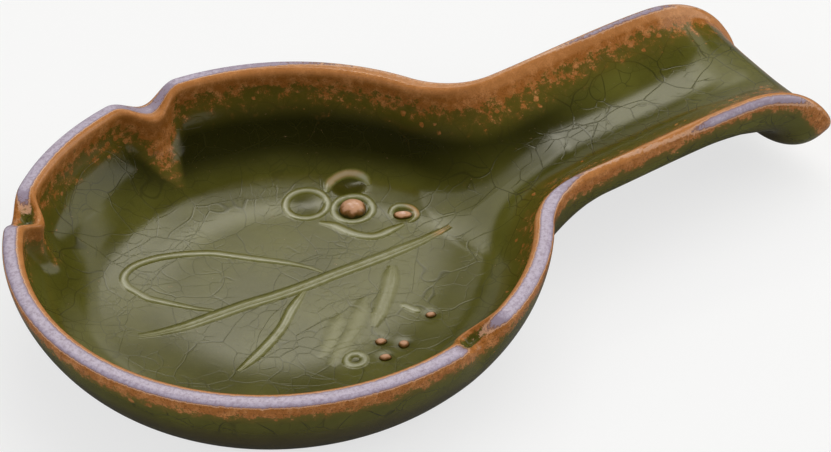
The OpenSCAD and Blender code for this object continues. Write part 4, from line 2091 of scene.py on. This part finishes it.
@dataclass(frozen=True)
class Studio:
    """The camera, the lamps, the softbox dome, and the pale floor and backdrop.

    The camera stands a distance from its target, and its angles, lens, sensor and target come
    from the photograph's perspective. Light is 1 where it is white. The mirrored values are
    what the glaze mirrors of the floor and the world, which is less than what lights it.
    """

    target: Triple = (26.82, -19.46, 29.0)
    distance: float = 600.0
    azimuth: float = 29.0
    elevation: float = 38.992
    roll: float = -1.218
    lens: float = 108.47
    sensor: float = 36.0
    clip: Point = (0.01, 50.0)
    floor_half: float = 3000.0
    floor_white: float = 0.82
    floor_seen_white: float = 0.7
    floor_mirrored: float = 0.25
    world_light: float = 0.42
    world_mirrored: float = 0.02
    lamp_distance: float = 1000.0
    dome_distance: float = 4000.0
    dome_color: Color = (1.0, 0.97, 0.84)
    dome_azimuths: Triple = (-94.0, 128.0, 1.0)
    dome_elevations: Triple = (0.4, 62.0, 0.8)
    lamps: dict[str, Lamp] = field(default_factory=lambda: {
        "overhead": Lamp(40.0, 66.0, 850.0, 1.6),
        "left_fill": Lamp(-168.0, 28.0, 690.0, 1.65),
        "right_fill": Lamp(-25.0, 38.0, 690.0, 1.5),
    })
    glows: dict[str, Glow] = field(default_factory=lambda: {
        "floor": Glow((53.0, 76.0), (35.5, 46.4), 2.8, (6.0, 6.0, 7.0, 2.2)),
        "far_edge": Glow((59.0, 74.0), (40.5, 46.8), 1.3, (3.0, 6.0, 2.5, 2.0)),
        "trough": Glow((62.0, 108.0), (42.5, 51.5), 4.4, (10.0, 34.0, 4.0, 3.5)),
        "right_edge": Glow((82.0, 120.0), (37.0, 50.0), 1.4, (14.0, 10.0, 6.0, 4.0)),
        "side": Glow((-46.0, 10.0), (0.4, 51.0), 1.25, (12.0, 5.0, 2.0, 6.0)),
        "side_top": Glow((3.0, 42.0), (38.0, 52.0), 1.2, (4.0, 8.0, 3.0, 4.0)),
        "between": Glow((34.0, 60.0), (38.0, 47.4), 1.1, (8.0, 4.0, 3.0, 2.5)),
        "low": Glow((34.0, 104.0), (0.4, 32.0), 0.45, (10.0, 10.0, 2.0, 4.0)),
        "tip": Glow((44.0, 66.0), (22.0, 42.0), 1.2, (8.0, 8.0, 8.0, 6.0)),
        "thin": Glow((-92.0, -58.0), (0.4, 20.0), 0.55, (5.0, 5.0, 2.0, 5.0)),
    })

    def _axes(self) -> tuple[Vector, Vector, Vector]:
        """Works out which way the camera is turned.

        Returns:
            Its right, up and back directions.
        """
        az, el, roll = (math.radians(v) for v in (self.azimuth, self.elevation, self.roll))
        back = Vector((-math.cos(el) * math.sin(az), -math.cos(el) * math.cos(az), math.sin(el)))
        right = Vector((math.cos(az), -math.sin(az), 0.0))
        up = Vector((math.sin(el) * math.sin(az), math.sin(el) * math.cos(az), math.cos(el)))
        return (math.cos(roll) * right + math.sin(roll) * up,
                -math.sin(roll) * right + math.cos(roll) * up, back)

    def camera(self) -> None:
        """Sets the camera at the photograph's place."""
        right, up, back = self._axes()
        data = bpy.data.cameras.new("camera")
        data.lens, data.sensor_width, data.sensor_fit = self.lens, self.sensor, "HORIZONTAL"
        data.clip_start, data.clip_end = self.clip
        made = placed("camera", data)
        place = (Vector(self.target) + back * self.distance) * MM
        made.matrix_world = Matrix.Translation(place) @ Matrix(
            (right, up, back)).transposed().to_4x4()
        bpy.context.scene.camera = made

    def dome(self) -> None:
        """Hangs one curved softbox, lit where its patches of light are."""
        azimuths, elevations = np.arange(*self.dome_azimuths), np.arange(*self.dome_elevations)
        light = sum(glow.light(azimuths, elevations) for glow in self.glows.values()).ravel()
        points = [direction(a, e) * self.dome_distance * MM for e in elevations for a in azimuths]
        rows = np.arange(len(points)).reshape(len(elevations), len(azimuths))
        faces = [face for face in skin_faces(rows[:, ::-1]) if max(light[list(face)]) > 0.0]
        mesh = bpy.data.meshes.new("softbox_dome")
        mesh.from_pydata(points, [], faces)
        mesh.polygons.foreach_set("use_smooth", [True] * len(mesh.polygons))
        layer = mesh.attributes.new("light", "FLOAT", "POINT")
        layer.data.foreach_set("value", light.astype(np.float32))
        maker = ShaderMaker("softbox_light", "ShaderNodeEmission", Color=self.dome_color)
        maker.wire(Strength=maker.field("light"))
        mesh.materials.append(maker.material)
        made = placed("softbox_dome", mesh)
        made.visible_camera = False

    def world(self) -> None:
        """Lights the scene from all round, and shows white to the camera."""
        world = bpy.data.worlds.new("studio")
        world.use_nodes = True
        world.node_tree.nodes.clear()
        maker = NodeMaker(world.node_tree)
        ray = maker.add("ShaderNodeLightPath").outputs
        lit = maker.add("ShaderNodeMix", i0=ray["Is Glossy Ray"], i2=self.world_light,
                        i3=self.world_mirrored)
        seen = maker.add("ShaderNodeMix", i0=ray["Is Camera Ray"], i2=lit.outputs[0], i3=1.0)
        back = maker.add("ShaderNodeBackground", Strength=seen.outputs[0])
        maker.add("ShaderNodeOutputWorld", Surface=back.outputs[0])
        bpy.context.scene.world = world

    def floor(self) -> None:
        """Lays the pale floor, which keeps the shadow and looks partly plain white."""
        mesh = bpy.data.meshes.new("table")
        half = self.floor_half * MM
        mesh.from_pydata([(-half, -half, 0), (half, -half, 0), (half, half, 0), (-half, half, 0)],
                         [], [(0, 1, 2, 3)])
        maker = ShaderMaker("table_white", "ShaderNodeMixShader")
        ray = maker.add("ShaderNodeLightPath").outputs
        tint = maker.blend(ray["Is Glossy Ray"], (self.floor_white,) * 3,
                           (self.floor_white * self.floor_mirrored,) * 3)
        matt = maker.add("ShaderNodeBsdfDiffuse", Color=tint)
        white = maker.add("ShaderNodeEmission")
        share = maker.times(ray["Is Camera Ray"], self.floor_seen_white)
        for entry, value in zip(maker.shader.inputs, (share, matt.outputs[0], white.outputs[0])):
            maker.give(entry, value)
        mesh.materials.append(maker.material)
        placed("table", mesh)

    def build(self) -> None:
        """Sets up the camera, the softbox dome, the lamps, the world's light and the floor."""
        self.camera()
        self.dome()
        for name, lamp in self.lamps.items():
            lamp.hang(name, self.lamp_distance)
        self.world()
        self.floor()


def main() -> None:
    """Builds the spoon rest in order, and reports each piece."""
    logging.basicConfig(level=logging.INFO, format="%(name)s %(message)s")
    bpy.context.scene.view_settings.view_transform = "Standard"
    form = ClayForm()
    glaze_break = GlazeBreak()
    sprig = Sprig(form)
    glaze = BodyGlaze().material()
    bowl = Bowl(form, glaze_break, sprig).build(glaze)
    Handle(form, glaze_break).build(glaze)
    FootRing(form).build(BareClay().material())
    sprig.build(bowl, ReliefGlaze().material(), BerryGlaze().material())
    Studio().build()


if __name__ == "__main__":
    main()
